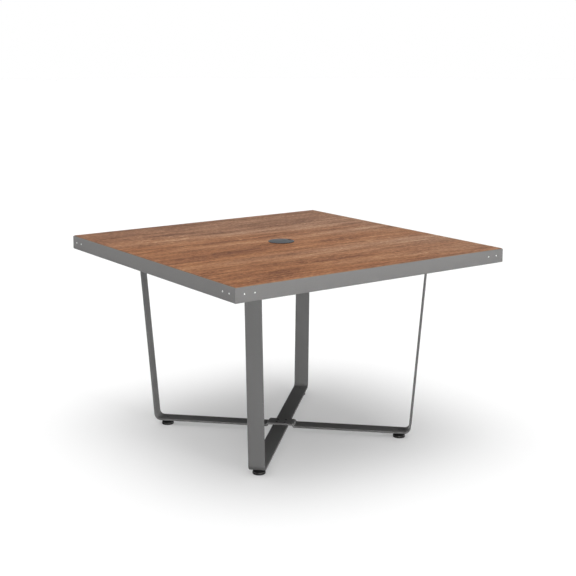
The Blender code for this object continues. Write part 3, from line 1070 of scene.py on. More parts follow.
def push(bm: BMesh, faces: Sequence[BMFace], move: Sequence[float], hollow: bool = False) -> list[BMVert]:
    """Draw some faces out to a block, or sink them into one.

    Args:
        bm: Mesh that holds the faces.
        faces: The faces.
        move: Which way and how far.
        hollow: Whether the old faces go, which leaves a recess open.

    Returns:
        The new vertices.
    """
    moved = vertices(bmesh.ops.extrude_face_region(bm, geom=faces)["geom"])
    bmesh.ops.translate(bm, vec=move, verts=moved)
    if hollow:
        bmesh.ops.delete(bm, geom=faces, context="FACES")
    return moved


def spun(bm: BMesh, geom: Sequence[Any], angle: float, steps: int, **more: Any) -> list[Any]:
    """Spin some geometry, about Z unless more says otherwise, and give what lies at the end."""
    settings = {"cent": (0.0, 0.0, 0.0), "axis": (0.0, 0.0, 1.0), **more}
    return bmesh.ops.spin(bm, geom=geom, angle=angle, steps=steps, **settings)["geom_last"]


def round_corners(bm: BMesh, verts: Sequence[BMVert], radius: float, segments: int = 4) -> None:
    """Round the corners of an outline.

    Args:
        bm: Mesh that holds the outline.
        verts: Corners to round.
        radius: Distance from each corner at which the round starts.
        segments: Facets of the round.
    """
    bmesh.ops.bevel(
        bm,
        geom=list(verts),
        offset=radius,
        segments=segments,
        profile=0.5,
        affect="VERTICES",
        material=-1,
    )


def round_edges(bm: BMesh, edges: Sequence[BMEdge], radius: float, segments: int = 3) -> None:
    """Round some edges of a solid.

    Args:
        bm: Mesh that holds the edges.
        edges: Edges to round.
        radius: Distance from each edge at which the round starts.
        segments: Facets of the round.
    """
    bmesh.ops.bevel(
        bm,
        geom=list(edges),
        offset=radius,
        segments=segments,
        profile=0.5,
        affect="EDGES",
        clamp_overlap=True,
        material=-1,
    )


def turned(corners: Sequence[tuple[float, float, float]], steps: int, closed: bool = False) -> BMesh:
    """Turn an outline about Z, as on a lathe.

    Args:
        corners: Radius, height and rounding of each corner of the outline.
        steps: Facets round the axis.
        closed: Whether the outline's last corner joins its first.

    Returns:
        The turned mesh.
    """
    bm = bmesh.new()
    verts = [bm.verts.new((radius, 0.0, height)) for radius, height, _ in corners]
    for pair in zip(verts, verts[1:]):
        bm.edges.new(pair)
    if closed:
        bm.edges.new((verts[-1], verts[0]))
    for vert, (_, _, rounding) in zip(verts, corners):
        if rounding:
            round_corners(bm, [vert], rounding)
    spun(bm, bm.verts[:] + bm.edges[:], math.tau, steps, use_merge=True)
    return bm


def drill(bm: BMesh, spot: Vector, depth: float, radius: float, sides: int) -> None:
    """Open a round hole along Z through the two level faces over and under a spot.

    Args:
        bm: Mesh of the plate or bar.
        spot: Middle of the hole.
        depth: Thickness of the plate or bar there.
        radius: Radius of the hole.
        sides: Facets of the hole.
    """
    bm.normal_update()
    faces = [face for face in bm.faces if covers(face, spot, depth)]
    faces.sort(key=lambda face: face.verts[0].co.z)
    low, high = (face.verts[0].co.z for face in faces)
    rims = [list(face.edges) for face in faces]
    bmesh.ops.delete(bm, geom=faces, context="FACES_ONLY")
    middle = Matrix.Translation((spot.x, spot.y, low))
    lower = edges_among(bmesh.ops.create_circle(bm, segments=sides, radius=radius, matrix=middle)["verts"])
    upper = edges_among(pull(bm, lower, (0.0, 0.0, high - low)))
    for rim, ring in zip(rims, (lower, upper)):
        bmesh.ops.triangle_fill(bm, use_beauty=True, edges=rim + ring, normal=(0.0, 0.0, 1.0))


def covers(face: BMFace, spot: Vector, depth: float) -> bool:
    """Tell whether a level face lies close over or under a spot.

    Args:
        face: The face.
        spot: The spot.
        depth: How far over or under the spot the face may lie.

    Returns:
        Whether the face is level and near, and its box, seen along Z, holds the spot.
    """
    if abs(face.normal.z) < LEVEL_NORMAL or abs(face.verts[0].co.z - spot.z) > depth:
        return False
    lows = [min(vert.co[axis] for vert in face.verts) for axis in (0, 1)]
    highs = [max(vert.co[axis] for vert in face.verts) for axis in (0, 1)]
    return all(lows[axis] < spot[axis] < highs[axis] for axis in (0, 1))


@dataclass
class Workbench:
    """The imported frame, on which the pieces are set up."""

    frame: dict[str, Any]

    def set_up(
        self,
        node: str,
        bm: BMesh,
        finish: Finish,
        body: str = "table",
        smooth: float = SMOOTH_ANGLE,
    ) -> None:
        """Put a finished piece in the place of a frame node.

        Args:
            node: Node that the piece stands for.
            bm: The piece's mesh, in its place.
            finish: What it is dressed in.
            body: Body that the piece rides on.
            smooth: Widest angle between faces that are shaded as one.
        """
        bmesh.ops.remove_doubles(bm, verts=bm.verts, dist=MERGE_DISTANCE)
        bmesh.ops.recalc_face_normals(bm, faces=bm.faces)
        mesh = bpy.data.meshes.new(f"{node}_piece")
        bm.to_mesh(mesh)
        bm.free()
        mesh.shade_smooth()
        mesh.set_sharp_from_angle(angle=smooth)
        mesh.materials.append(finish.material())
        piece = bpy.data.objects.new(f"{node}_piece", mesh)
        bpy.context.collection.objects.link(piece)
        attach(piece, body)
        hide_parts(node)
        LOG.info("%s: %d faces on %s", piece.name, len(mesh.polygons), body)

    def coat(self, node: str, finish: Finish) -> None:
        """Give a frame node that stays its finish.

        Args:
            node: The node.
            finish: What it is dressed in.
        """
        for material_slot in self.frame["nodes"][node].material_slots:
            material_slot.material = finish.material()
        LOG.info("%s: frame node in %s", node, finish.name)

    def turned_box(self, node: str, turn: float) -> tuple[Vector, Vector]:
        """Measure a node along axes that are turned about Z.

        Args:
            node: The node.
            turn: Angle of the axes.

        Returns:
            Its lowest and highest corners along those axes.
        """
        back = Matrix.Rotation(-turn, 3, "Z")
        spots = [back @ vert.co for vert in self.frame["nodes"][node].data.vertices]
        low = Vector([min(spot[axis] for spot in spots) for axis in range(3)])
        high = Vector([max(spot[axis] for spot in spots) for axis in range(3)])
        return low, high


@dataclass(frozen=True)
class Screw:
    """A round-head screw, modelled with its head up and its seat at Z = 0."""

    head_diameter: float
    head_height: float
    shank_diameter: float
    drive: Drive = Drive.PLAIN
    drive_size: float = 0.0
    drive_depth: float = 0.0
    sides: int = 24
    lip_share: float = 0.56
    cross_slimness: float = 5.0
    tip_share: float = 0.3

    def build(self, length: float) -> BMesh:
        """Model the screw.

        Args:
            length: Shank length below the seat.

        Returns:
            The mesh.
        """
        bm = bmesh.new()
        rim = self.head_diameter / 2
        crown = (rim**2 + self.head_height**2) / (2 * self.head_height)
        sink = Matrix.Translation((0.0, 0.0, self.head_height - crown))
        bmesh.ops.create_uvsphere(
            bm, u_segments=self.sides, v_segments=2 * self.sides, radius=crown, matrix=sink
        )
        self.slice_off(bm, 0.0, below=True)
        self.grow_shank(bm, length)
        if self.drive is not Drive.PLAIN:
            lip = self.drive_size * self.lip_share
            self.slice_off(bm, self.head_height - crown + math.sqrt(crown**2 - lip**2), below=False)
            self.sink_drive(bm)
        return bm

    @staticmethod
    def slice_off(bm: BMesh, height: float, below: bool) -> None:
        """Cut the head level and leave it open there.

        Args:
            bm: Mesh of the screw.
            height: Height of the cut.
            below: Whether what lies below goes, and not what lies above.
        """
        bmesh.ops.bisect_plane(
            bm,
            geom=bm.verts[:] + bm.edges[:] + bm.faces[:],
            dist=MERGE_DISTANCE,
            plane_co=(0.0, 0.0, height),
            plane_no=(0.0, 0.0, 1.0),
            clear_inner=below,
            clear_outer=not below,
        )

    def grow_shank(self, bm: BMesh, length: float) -> None:
        """Draw the head's open rim in to the shank, and the shank down to a pointed tip.

        Args:
            bm: Mesh of the head.
            length: Shank length below the seat.
        """
        loop = open_edges(bm)
        waist = self.shank_diameter / self.head_diameter
        tip = self.shank_diameter / 2
        for squeeze, drop in ((waist, 0.0), (1.0, tip - length), (self.tip_share, -tip)):
            ring = pull(bm, loop, (0.0, 0.0, drop))
            bmesh.ops.scale(bm, vec=(squeeze, squeeze, 1.0), verts=ring)
            loop = edges_among(ring)
        bmesh.ops.edgeloop_fill(bm, edges=loop)

    def sink_drive(self, bm: BMesh) -> None:
        """Join the open top of the head to its recess and push the recess down.

        Args:
            bm: Mesh of the screw, open at the top.
        """
        height = open_edges(bm)[0].verts[0].co.z
        half = self.drive_size / 2
        if self.drive is Drive.SOCKET:
            verts = disc(bm, half, height, KEY_SIDES)
        else:
            arm = half / self.cross_slimness
            level = Matrix.Translation((0.0, 0.0, height))
            verts = bmesh.ops.create_grid(bm, x_segments=1, y_segments=1, size=arm, matrix=level)["verts"]
            verts += self.spread_arms(bm, edges_among(verts), half - arm)
        faces = dict.fromkeys(face for vert in verts for face in vert.link_faces)
        floor = [face for face in faces if all(vert in verts for vert in face.verts)]
        outline = [edge for edge in edges_among(verts) if edge.is_boundary]
        bmesh.ops.bisect_edges(bm, edges=outline, cuts=self.sides // len(outline) - 1)
        bmesh.ops.bridge_loops(bm, edges=open_edges(bm))
        push(bm, floor, (0.0, 0.0, -self.drive_depth), hollow=True)

    @staticmethod
    def spread_arms(bm: BMesh, sides: Sequence[BMEdge], reach: float) -> list[BMVert]:
        """Draw each side of a small square out to an arm of a cross.

        Args:
            bm: Mesh that holds the square.
            sides: The square's four sides.
            reach: Length of an arm.

        Returns:
            The new vertices.
        """
        grown: list[BMVert] = []
        for side in sides:
            middle = (side.verts[0].co + side.verts[1].co) / 2
            out = Vector((middle.x, middle.y, 0.0)).normalized() * reach
            grown += pull(bm, [side], out)
        return grown

    def fit(self, bench: Workbench, node: str, outward: Vector, finish: Finish, slot: Slot) -> None:
        """Set one screw up where the frame has it.

        Args:
            bench: The workbench.
            node: Node of the screw.
            outward: Direction that its head faces.
            finish: What it is dressed in.
            slot: Slot of the record that the finish belongs to. Not used.
        """
        low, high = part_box(node)
        middle = (low + high) / 2
        span = abs((high - low).dot(outward))
        seat = middle + outward * (span / 2 - self.head_height)
        bm = self.build(span - self.head_height)
        aim = Vector((0.0, 0.0, 1.0)).rotation_difference(outward).to_matrix().to_4x4()
        bmesh.ops.transform(bm, matrix=Matrix.Translation(seat) @ aim, verts=bm.verts)
        bench.set_up(node, bm, finish)


# Sub-assemblies


@dataclass
class TopPanel:
    """The laminated board: a wood-print face, a board core and a backing sheet."""

    eased_edge: float = 0.0003
    bore_diameter: float = 0.089
    bore_sides: int = 96
    # Less than the angle between the face and its eased edge, so that the face is shaded flat.
    smooth_angle: float = math.radians(15.0)

    def build(self, bench: Workbench, finishes: Finishes) -> None:
        """Lay the face laminate and coat the board and the backing sheet.

        Args:
            bench: The workbench.
            finishes: The table's finishes.
        """
        bench.set_up("face_laminate", self.laminate(), finishes.wood, smooth=self.smooth_angle)
        bench.coat("panel_core", finishes.board)
        bench.coat("backing_sheet", finishes.backing)

    def laminate(self) -> BMesh:
        """Model the sheet with eased top edges and the grommet's bore.

        Returns:
            The mesh.
        """
        low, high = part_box("face_laminate")
        size = high - low
        bm = bmesh.new()
        place = Matrix.Translation((low + high) / 2) @ Matrix.Diagonal((*size, 1.0))
        bmesh.ops.create_cube(bm, size=1.0, matrix=place)
        top_edges = [edge for edge in bm.edges if all(vert.co.z > high.z - size.z / 2 for vert in edge.verts)]
        round_edges(bm, top_edges, self.eased_edge, segments=2)
        drill(bm, (low + high) / 2, size.z, self.bore_diameter / 2, self.bore_sides)
        return bm


@dataclass
class EdgeRails:
    """Four mitred steel angles round the panel, with the screws that hold them."""

    wall: float = 0.003
    upper_round: float = 0.0010
    lower_round: float = 0.0030
    inner_round: float = 0.0015
    edge_round: float = 0.0004
    dome: Screw = Screw(0.0065, 0.0022, 0.004)
    pan: Screw = Screw(0.009, 0.0025, 0.004, Drive.CROSS, 0.0046, 0.0013)
    domes_per_side: int = 4
    pans_per_side: int = 2

    def build(self, bench: Workbench, finishes: Finishes) -> None:
        """Fit each side's rail and its screws.

        Args:
            bench: The workbench.
            finishes: The table's finishes.
        """
        down = Vector((0.0, 0.0, -1.0))
        for side in Side:
            node = side.node("edge_rail")
            bench.set_up(node, self.rail(bench, node, side), finishes.rail_paint)
            for number in range(1, self.domes_per_side + 1):
                name = f"{side.node('edge_screw')}_{number}"
                self.dome.fit(bench, name, side.outward, finishes.bright, Slot.BRIGHT)
            for number in range(1, self.pans_per_side + 1):
                name = f"{side.node('rail_screw')}_{number}"
                self.pan.fit(bench, name, down, finishes.zinc, Slot.ZINC)

    def rail(self, bench: Workbench, node: str, side: Side) -> BMesh:
        """Model one rail: an angle drawn out along X, with its ends mitred.

        Args:
            bench: The workbench.
            node: Node of the rail.
            side: Side of the top that it runs along.

        Returns:
            The mesh.
        """
        low, high = bench.turned_box(node, side.value)
        wall = self.wall
        corners = (
            (low.y, low.z, self.lower_round),
            (high.y, low.z, self.edge_round),
            (high.y, low.z + wall, self.edge_round),
            (low.y + wall, low.z + wall, self.inner_round),
            (low.y + wall, high.z, self.edge_round),
            (low.y, high.z, self.upper_round),
        )
        bm = bmesh.new()
        verts = [bm.verts.new((low.x, y, z)) for y, z, _ in corners]
        bm.faces.new(verts)
        for vert, (_, _, rounding) in zip(verts, corners):
            round_corners(bm, [vert], rounding)
        near = bm.verts[:]
        far = push(bm, bm.faces[:], (high.x - low.x, 0.0, 0.0))
        for ends, inward in ((near, 1.0), (far, -1.0)):
            for vert in ends:
                vert.co.x += inward * (vert.co.y - low.y)
        bmesh.ops.rotate(bm, matrix=Matrix.Rotation(side.value, 3, "Z"), verts=bm.verts)
        return bm


class BarBender:
    """Draws a flat bar out along its run, in straight lengths and bends in the XZ plane."""

    def __init__(self, width: float, thickness: float, edge_round: float, start: Vector) -> None:
        """Lay the bar's section across the start of the run, which heads along +X.

        Args:
            width: Width of the bar, along Y.
            thickness: Thickness of the bar.
            edge_round: Rounding of the bar's four edges.
            start: Middle of the section.
        """
        self.bm = bmesh.new()
        self.spot = start.copy()
        self.heading = 0.0
        half_width = width / 2
        half = thickness / 2
        section = ((-half_width, -half), (half_width, -half), (half_width, half), (-half_width, half))
        verts = [self.bm.verts.new(start + Vector((0.0, y, z))) for y, z in section]
        self.bm.faces.new(verts)
        round_corners(self.bm, verts, edge_round)
        self.loop = self.bm.edges[:]
        bmesh.ops.delete(self.bm, geom=self.bm.faces[:], context="FACES_ONLY")

    def straight(self, length: float) -> None:
        """Draw a straight length.

        Args:
            length: How far the bar runs on.
        """
        step = Vector((math.cos(self.heading), 0.0, math.sin(self.heading))) * length
        self.loop = edges_among(pull(self.bm, self.loop, step))
        self.spot += step

    def bend(self, radius: float, turn: float, steps: int) -> None:
        """Bend the bar up or down.

        Args:
            radius: Radius of the bar's middle line.
            turn: Angle of the bend, positive towards +Z.
            steps: Facets of the bend.
        """
        up = Vector((-math.sin(self.heading), 0.0, math.cos(self.heading)))
        arm = up * math.copysign(radius, turn)
        centre = self.spot + arm
        ends = dict.fromkeys(vert for edge in self.loop for vert in edge.verts)
        axis = (0.0, -1.0, 0.0)
        last = spun(self.bm, [*ends, *self.loop], turn, steps, cent=centre, axis=axis)
        self.loop = edges_among(vertices(last))
        self.heading += turn
        self.spot = centre - Matrix.Rotation(turn, 3, axis) @ arm

    def close(self) -> None:
        """Close the end of the bar."""
        bmesh.ops.edgeloop_fill(self.bm, edges=self.loop)


@dataclass
class LegFrames:
    """Two crossed flat-bar frames with the bolts under the top and the screws at the crossing."""

    thickness: float = 0.008
    edge_round: float = 0.0009
    bend_radius: float = 0.024
    bend_steps: int = 14
    lean: float = math.radians(4.7)
    flange: float = 0.105
    joggle_plateau: float = 0.050
    joggle_rise: float = 0.0083
    joggle_slope: float = math.radians(68.0)
    joggle_radius: float = 0.0055
    joggle_steps: int = 5
    stud_bore: float = 0.0086
    stud_bore_sides: int = 24
    cell: float = 0.040
    bolt: Screw = Screw(0.015, 0.0045, 0.007, Drive.SOCKET, 0.0058, 0.0026)
    cross_screw: Screw = Screw(0.0095, 0.0022, 0.005, Drive.SOCKET, 0.0037, 0.0014)
    bolts_per_corner: int = 2
    cross_screws: int = 4

    def build(self, bench: Workbench, finishes: Finishes) -> None:
        """Bend both frames and fit their bolts and screws.

        Args:
            bench: The workbench.
            finishes: The table's finishes.
        """
        for diagonal in Diagonal:
            bm = self.bend_frame(bench, diagonal)
            bench.set_up(diagonal.node, bm, finishes.leg_paint_with_painted_shade)
        up = Vector((0.0, 0.0, 1.0))
        for corner in Corner:
            for number in range(1, self.bolts_per_corner + 1):
                name = f"leg_bolt_{corner.value}_{number}"
                self.bolt.fit(bench, name, -up, finishes.zinc, Slot.ZINC)
        for number in range(1, self.cross_screws + 1):
            self.cross_screw.fit(bench, f"cross_screw_{number}", up, finishes.black_screw, Slot.BLACK_SCREW)

    def bend_frame(self, bench: Workbench, diagonal: Diagonal) -> BMesh:
        """Bend half a frame from the middle outwards, drill it and mirror it.

        Args:
            bench: The workbench.
            diagonal: Which of the two frames.

        Returns:
            The mesh.
        """
        low, high = bench.turned_box(diagonal.node, diagonal.value)
        half = self.thickness / 2
        base = low.z + half
        glide_low, glide_high = bench.turned_box("glide_stud_back_right", Diagonal.LOWER.value)
        glide = (glide_low.x + glide_high.x) / 2
        upright = math.pi / 2 - self.lean
        foot_reach, top_reach = self.corner_reaches(base, high)
        joggled = diagonal is Diagonal.UPPER
        start = Vector((0.0, 0.0, base + self.joggle_rise * joggled))
        bender = BarBender(high.y - low.y, self.thickness, self.edge_round, start)
        if joggled:
            self.bend_joggle(bender)
        bender.straight(glide - self.cell / 2 - bender.spot.x)
        bender.straight(self.cell)
        foot_setback = self.bend_radius * math.tan(upright / 2)
        bender.straight(foot_reach - foot_setback - bender.spot.x)
        bender.bend(self.bend_radius, upright, self.bend_steps)
        top_turn = math.pi - upright
        top_setback = self.bend_radius * math.tan(top_turn / 2)
        corner = Vector((top_reach, 0.0, high.z - half))
        bender.straight((corner - bender.spot).length - top_setback)
        bender.bend(self.bend_radius, top_turn, self.bend_steps)
        bender.straight(self.flange - top_setback)
        bender.close()
        spot = Vector((glide, 0.0, base))
        drill(bender.bm, spot, self.thickness, self.stud_bore / 2, self.stud_bore_sides)
        return self.mirrored(bender.bm, diagonal)

    def bend_joggle(self, bender: BarBender) -> None:
        """Step the bar down from the crossing to the level of its feet.

        Args:
            bender: Bar at the middle of the crossing.
        """
        setback = self.joggle_radius * math.tan(self.joggle_slope / 2)
        slope = self.joggle_rise / math.sin(self.joggle_slope)
        bender.straight(self.joggle_plateau - setback)
        bender.bend(self.joggle_radius, -self.joggle_slope, self.joggle_steps)
        bender.straight(slope - 2 * setback)
        bender.bend(self.joggle_radius, self.joggle_slope, self.joggle_steps)

    def corner_reaches(self, base: float, high: Vector) -> tuple[float, float]:
        """Find how far out the leg's middle line meets the foot's and the flange's.

        Args:
            base: Height of the foot's middle line.
            high: Highest corner of the frame along its own axes.

        Returns:
            Reach of the foot corner and of the top corner.
        """
        radius = self.bend_radius
        drop = radius * (1 + math.sin(self.lean)) / math.cos(self.lean)
        centre = high.x - radius - self.thickness / 2
        top = centre + drop * math.sin(self.lean) + radius * math.cos(self.lean)
        foot = top - (high.z - self.thickness / 2 - base) * math.tan(self.lean)
        return foot, top

    @staticmethod
    def mirrored(bm: BMesh, diagonal: Diagonal) -> BMesh:
        """Make the other half and turn the frame onto its diagonal.

        Args:
            bm: Half a frame, open at the middle.
            diagonal: Which of the two frames.

        Returns:
            The whole mesh.
        """
        bmesh.ops.mirror(
            bm,
            geom=bm.verts[:] + bm.edges[:] + bm.faces[:],
            matrix=Matrix.Identity(4),
            merge_dist=MERGE_DISTANCE,
            axis="X",
        )
        bmesh.ops.rotate(bm, matrix=Matrix.Rotation(diagonal.value, 3, "Z"), verts=bm.verts)
        return bm


@dataclass
class Glides:
    """Four levelling glides: a moulded pad and the threaded stud that turns in it."""

    hub_diameter: float = 0.044
    base_height: float = 0.0085
    base_round: float = 0.0015
    hub_round: float = 0.0010
    neck_fillet: float = 0.0003
    pocket_diameter: float = 0.0086
    pocket_floor: float = 0.005
    mouth_round: float = 0.0003
    sole_groove: float = 0.0006
    sole_width: float = 0.006
    pad_steps: int = 64
    pitch: float = 0.00125
    thread_depth: float = 0.0006
    thread_crest: float = 0.15
    thread_root: float = 0.55
    thread_steps: int = 24
    lead_turns: int = 2
    socket: float = 0.0044
    socket_depth: float = 0.003

    def build(self, bench: Workbench, finishes: Finishes) -> None:
        """Set a pad and a stud up at each corner.

        Args:
            bench: The workbench.
            finishes: The table's finishes.
        """
        for corner in Corner:
            pad = f"glide_pad_{corner.value}"
            bench.set_up(pad, self.pad(pad), finishes.glide, pad)
            stud = f"glide_stud_{corner.value}"
            bench.set_up(stud, self.stud(stud), finishes.black_screw, stud)

    def pad(self, node: str) -> BMesh:
        """Turn a pad: a rounded base with a grooved sole, a hub and a pocket for the stud.

        Args:
            node: Node of the pad.

        Returns:
            The mesh.
        """
        low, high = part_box(node)
        rim = (high.y - low.y) / 2
        hub = self.hub_diameter / 2
        pocket = self.pocket_diameter / 2
        groove = rim - self.base_round - self.sole_width
        corners = (
            (0.0, self.pocket_floor, 0.0),
            (pocket, self.pocket_floor, 0.0),
            (pocket, high.z, self.mouth_round),
            (hub, high.z, self.hub_round),
            (hub, self.base_height, self.neck_fillet),
            (rim, self.base_height, self.base_round),
            (rim, low.z, self.base_round),
            (groove + self.sole_width / 2, low.z, 0.0),
            (groove + self.sole_width / 2 - self.sole_groove, low.z + self.sole_groove, 0.0),
            (groove, low.z + self.sole_groove, 0.0),
            (groove - self.sole_groove, low.z, 0.0),
            (0.0, low.z, 0.0),
        )
        bm = turned(corners, self.pad_steps)
        bmesh.ops.translate(bm, vec=level_middle(low, high), verts=bm.verts)
        return bm

    def stud(self, node: str) -> BMesh:
        """Cut a thread on a rod and sink a key socket in its top.

        Args:
            node: Node of the stud.

        Returns:
            The mesh.
        """
        low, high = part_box(node)
        bm = self.thread((high.y - low.y) / 2, low.z, high.z)
        self.sink_socket(bm, high.z)
        bmesh.ops.translate(bm, vec=level_middle(low, high), verts=bm.verts)
        return bm

    def thread(self, radius: float, low: float, high: float) -> BMesh:
        """Spin one groove of the thread up the rod, cut its ends level and close the lower one.

        Args:
            radius: Outer radius of the thread.
            low: Height of the lower end.
            high: Height of the upper end.

        Returns:
            The mesh, open at the top.
        """
        bm = bmesh.new()
        start = low - self.lead_turns * self.pitch
        shape = (
            (radius, 0.0),
            (radius, self.thread_crest),
            (radius - self.thread_depth, self.thread_root),
            (radius, 1.0),
        )
        verts = [bm.verts.new((reach, 0.0, start + share * self.pitch)) for reach, share in shape]
        for pair in zip(verts, verts[1:]):
            bm.edges.new(pair)
        turns = math.ceil((high - low) / self.pitch) + self.lead_turns + 1
        climb = (0.0, 0.0, self.pitch / self.thread_steps)
        steps = self.thread_steps * turns
        spun(bm, bm.verts[:] + bm.edges[:], math.tau * turns, steps, dvec=climb)
        bmesh.ops.remove_doubles(bm, verts=bm.verts, dist=MERGE_DISTANCE)
        Screw.slice_off(bm, high, below=False)
        Screw.slice_off(bm, low, below=True)
        foot = [edge for edge in bm.edges if edge.is_boundary and edge.verts[0].co.z < (low + high) / 2]
        bmesh.ops.edgeloop_fill(bm, edges=foot)
        return bm

    def sink_socket(self, bm: BMesh, height: float) -> None:
        """Join the open top of the rod to a key socket.

        Args:
            bm: Mesh of the rod, open at the top.
            height: Height of its top.
        """
        rim = open_edges(bm)
        verts = disc(bm, self.socket / 2, height, KEY_SIDES)
        floor = verts[0].link_faces[0]
        bmesh.ops.bridge_loops(bm, edges=rim + edges_among(verts))
        push(bm, [floor], (0.0, 0.0, -self.socket_depth), hollow=True)


def level_middle(low: Vector, high: Vector) -> Vector:
    """Middle of a box seen along Z, at height zero."""
    return Vector(((low.x + high.x) / 2, (low.y + high.y) / 2, 0.0))


@dataclass
class Grommet:
    """The cable grommet: a flanged sleeve, a cap that turns in it and a tab that flips up."""

    sleeve_wall: float = 0.0025
    sleeve_gap: float = 0.0003
    bore_radius: float = 0.0445
    lip: float = 0.004
    rise: float = 0.003
    rim_thickness: float = 0.002
    sleeve_round: float = 0.0005
    flange_wall: float = 0.0023
    small_round: float = 0.0005
    plug_radius: float = 0.0412
    notch_start: float = 0.012
    notch_width: float = 0.024
    tab_length: float = 0.0185
    tab_thickness: float = 0.0024
    tab_gap: float = 0.0008
    barrel_radius: float = 0.0027
    pin_radius: float = 0.0012
    hinge: Vector = field(default_factory=lambda: Vector((0.0152, 0.0, 0.7626)))
    round_steps: int = 128
    barrel_steps: int = 20

    def build(self, bench: Workbench, finishes: Finishes) -> None:
        """Set up the sleeve, the cap and the tab.

        Args:
            bench: The workbench.
            finishes: The table's finishes.
        """
        grey = finishes.grommet
        bench.set_up("grommet_sleeve", self.sleeve(), finishes.sleeve)
        bench.set_up("grommet_cap", self.cap(), grey, "grommet_cap")
        bench.set_up("grommet_tab", self.tab(), grey, "grommet_tab")

    def sleeve(self) -> BMesh:
        """Turn the sleeve: a tube under a sloped flange that is recessed for the cap.

        Returns:
            The mesh.
        """
        low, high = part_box("grommet_sleeve")
        flange = high.x
        tube = self.bore_radius - self.sleeve_gap
        bore = tube - self.sleeve_wall
        recess = flange - self.lip
        seat = high.z - self.rim_thickness
        under = high.z - self.rise
        corners = (
            (bore, low.z, self.small_round),
            (bore, seat, self.small_round),
            (recess, seat, 0.0),
            (recess, high.z, self.small_round),
            (flange, under + self.flange_wall, self.sleeve_round),
            (flange, under, 0.0),
            (tube, under, 0.0),
            (tube, low.z, self.small_round),
        )
        return turned(corners, self.round_steps, closed=True)

    def cap(self) -> BMesh:
        """Model the cap: a rimmed plate and the plug under it, both open at the cable notch.

        Returns:
            The mesh.
        """
        low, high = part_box("grommet_cap")
        rim_bottom = high.z - self.rim_thickness + self.sleeve_gap
        bm = bmesh.new()
        self.notched_disc(bm, -low.x, high.z, rim_bottom)
        rim = [edge for edge in bm.edges if all(vert.co.z > high.z - MERGE_DISTANCE for vert in edge.verts)]
        round_edges(bm, rim, self.small_round)
        self.notched_disc(bm, self.plug_radius, rim_bottom, low.z)
        return bm

    def notched_disc(self, bm: BMesh, radius: float, top: float, bottom: float) -> None:
        """Add a disc with the cable notch cut out of it.

        Args:
            bm: Mesh that the disc goes into.
            radius: Radius of the disc.
            top: Height of its upper face.
            bottom: Height of its lower face.
        """
        faces = list(disc(bm, radius, top, self.round_steps)[0].link_faces)
        half = self.notch_width / 2
        along = (1.0, 0.0, 0.0)
        across = (0.0, 1.0, 0.0)
        sides = (
            ((0.0, half, 0.0), across),
            ((0.0, -half, 0.0), across),
            ((self.notch_start, 0.0, 0.0), along),
        )
        for spot, normal in sides:
            parts = dict.fromkeys(item for face in faces for item in (*face.verts, *face.edges, face))
            cut = bmesh.ops.bisect_plane(
                bm, geom=list(parts), dist=MERGE_DISTANCE, plane_co=spot, plane_no=normal
            )
            faces = [item for item in cut["geom"] if isinstance(item, BMFace)]
        notch = [face for face in faces if self.in_notch(face.calc_center_median())]
        kept = [face for face in faces if face not in notch]
        bmesh.ops.delete(bm, geom=notch, context="FACES")
        plate = bmesh.ops.dissolve_faces(bm, faces=kept)["region"]
        push(bm, plate, (0.0, 0.0, bottom - top))

    def in_notch(self, spot: Vector) -> bool:
        """Whether a spot lies in the cable notch, seen along Z."""
        return spot.x > self.notch_start and abs(spot.y) < self.notch_width / 2

    def tab(self) -> BMesh:
        """Model the tab: a plate that ends in a barrel on two hinge pins.

        Returns:
            The mesh.
        """
        low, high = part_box("grommet_tab")
        reach = self.pin_radius * 2 + self.tab_gap
        half_width = (high.y - low.y) / 2 - reach
        underside = self.barrel_radius - self.tab_thickness
        bm = bmesh.new()
        start = bm.verts.new((0.0, -half_width, self.barrel_radius))
        sweep = -(math.pi + math.pi / 2 - math.asin(underside / self.barrel_radius))
        spun(bm, [start], sweep, self.barrel_steps, axis=(0.0, 1.0, 0.0))
        ends = [vert for vert in bm.verts if len(vert.link_edges) == 1]
        ends.sort(key=lambda vert: vert.co.z)
        lower = bm.verts.new((self.tab_length, -half_width, underside))
        upper = bm.verts.new((self.tab_length, -half_width, self.barrel_radius))
        for pair in ((ends[0], lower), (lower, upper), (upper, ends[1])):
            bm.edges.new(pair)
        bmesh.ops.edgeloop_fill(bm, edges=bm.edges[:])
        push(bm, bm.faces[:], (0.0, 2 * half_width, 0.0))
        bmesh.ops.recalc_face_normals(bm, faces=bm.faces)
        end = self.tab_length - MERGE_DISTANCE
        tip = [edge for edge in bm.edges if any(vert.co.x > end for vert in edge.verts)]
        round_edges(bm, tip, self.small_round)
        self.add_pins(bm, half_width, reach)
        bmesh.ops.translate(bm, vec=self.hinge, verts=bm.verts)
        return bm

    def add_pins(self, bm: BMesh, half_width: float, reach: float) -> None:
        """Add the two hinge pins at the ends of the barrel.

        Args:
            bm: Mesh of the tab, with its hinge at the origin.
            half_width: Half the width of the tab.
            reach: How far a pin stands out.
        """
        for sign in (-1.0, 1.0):
            middle = Vector((0.0, sign * (half_width + reach / 2), 0.0))
            lay = Matrix.Translation(middle) @ Matrix.Rotation(math.pi / 2, 4, "X")
            bmesh.ops.create_cone(
                bm,
                cap_ends=True,
                segments=self.barrel_steps,
                radius1=self.pin_radius,
                radius2=self.pin_radius,
                depth=reach,
                matrix=lay,
            )


# Studio


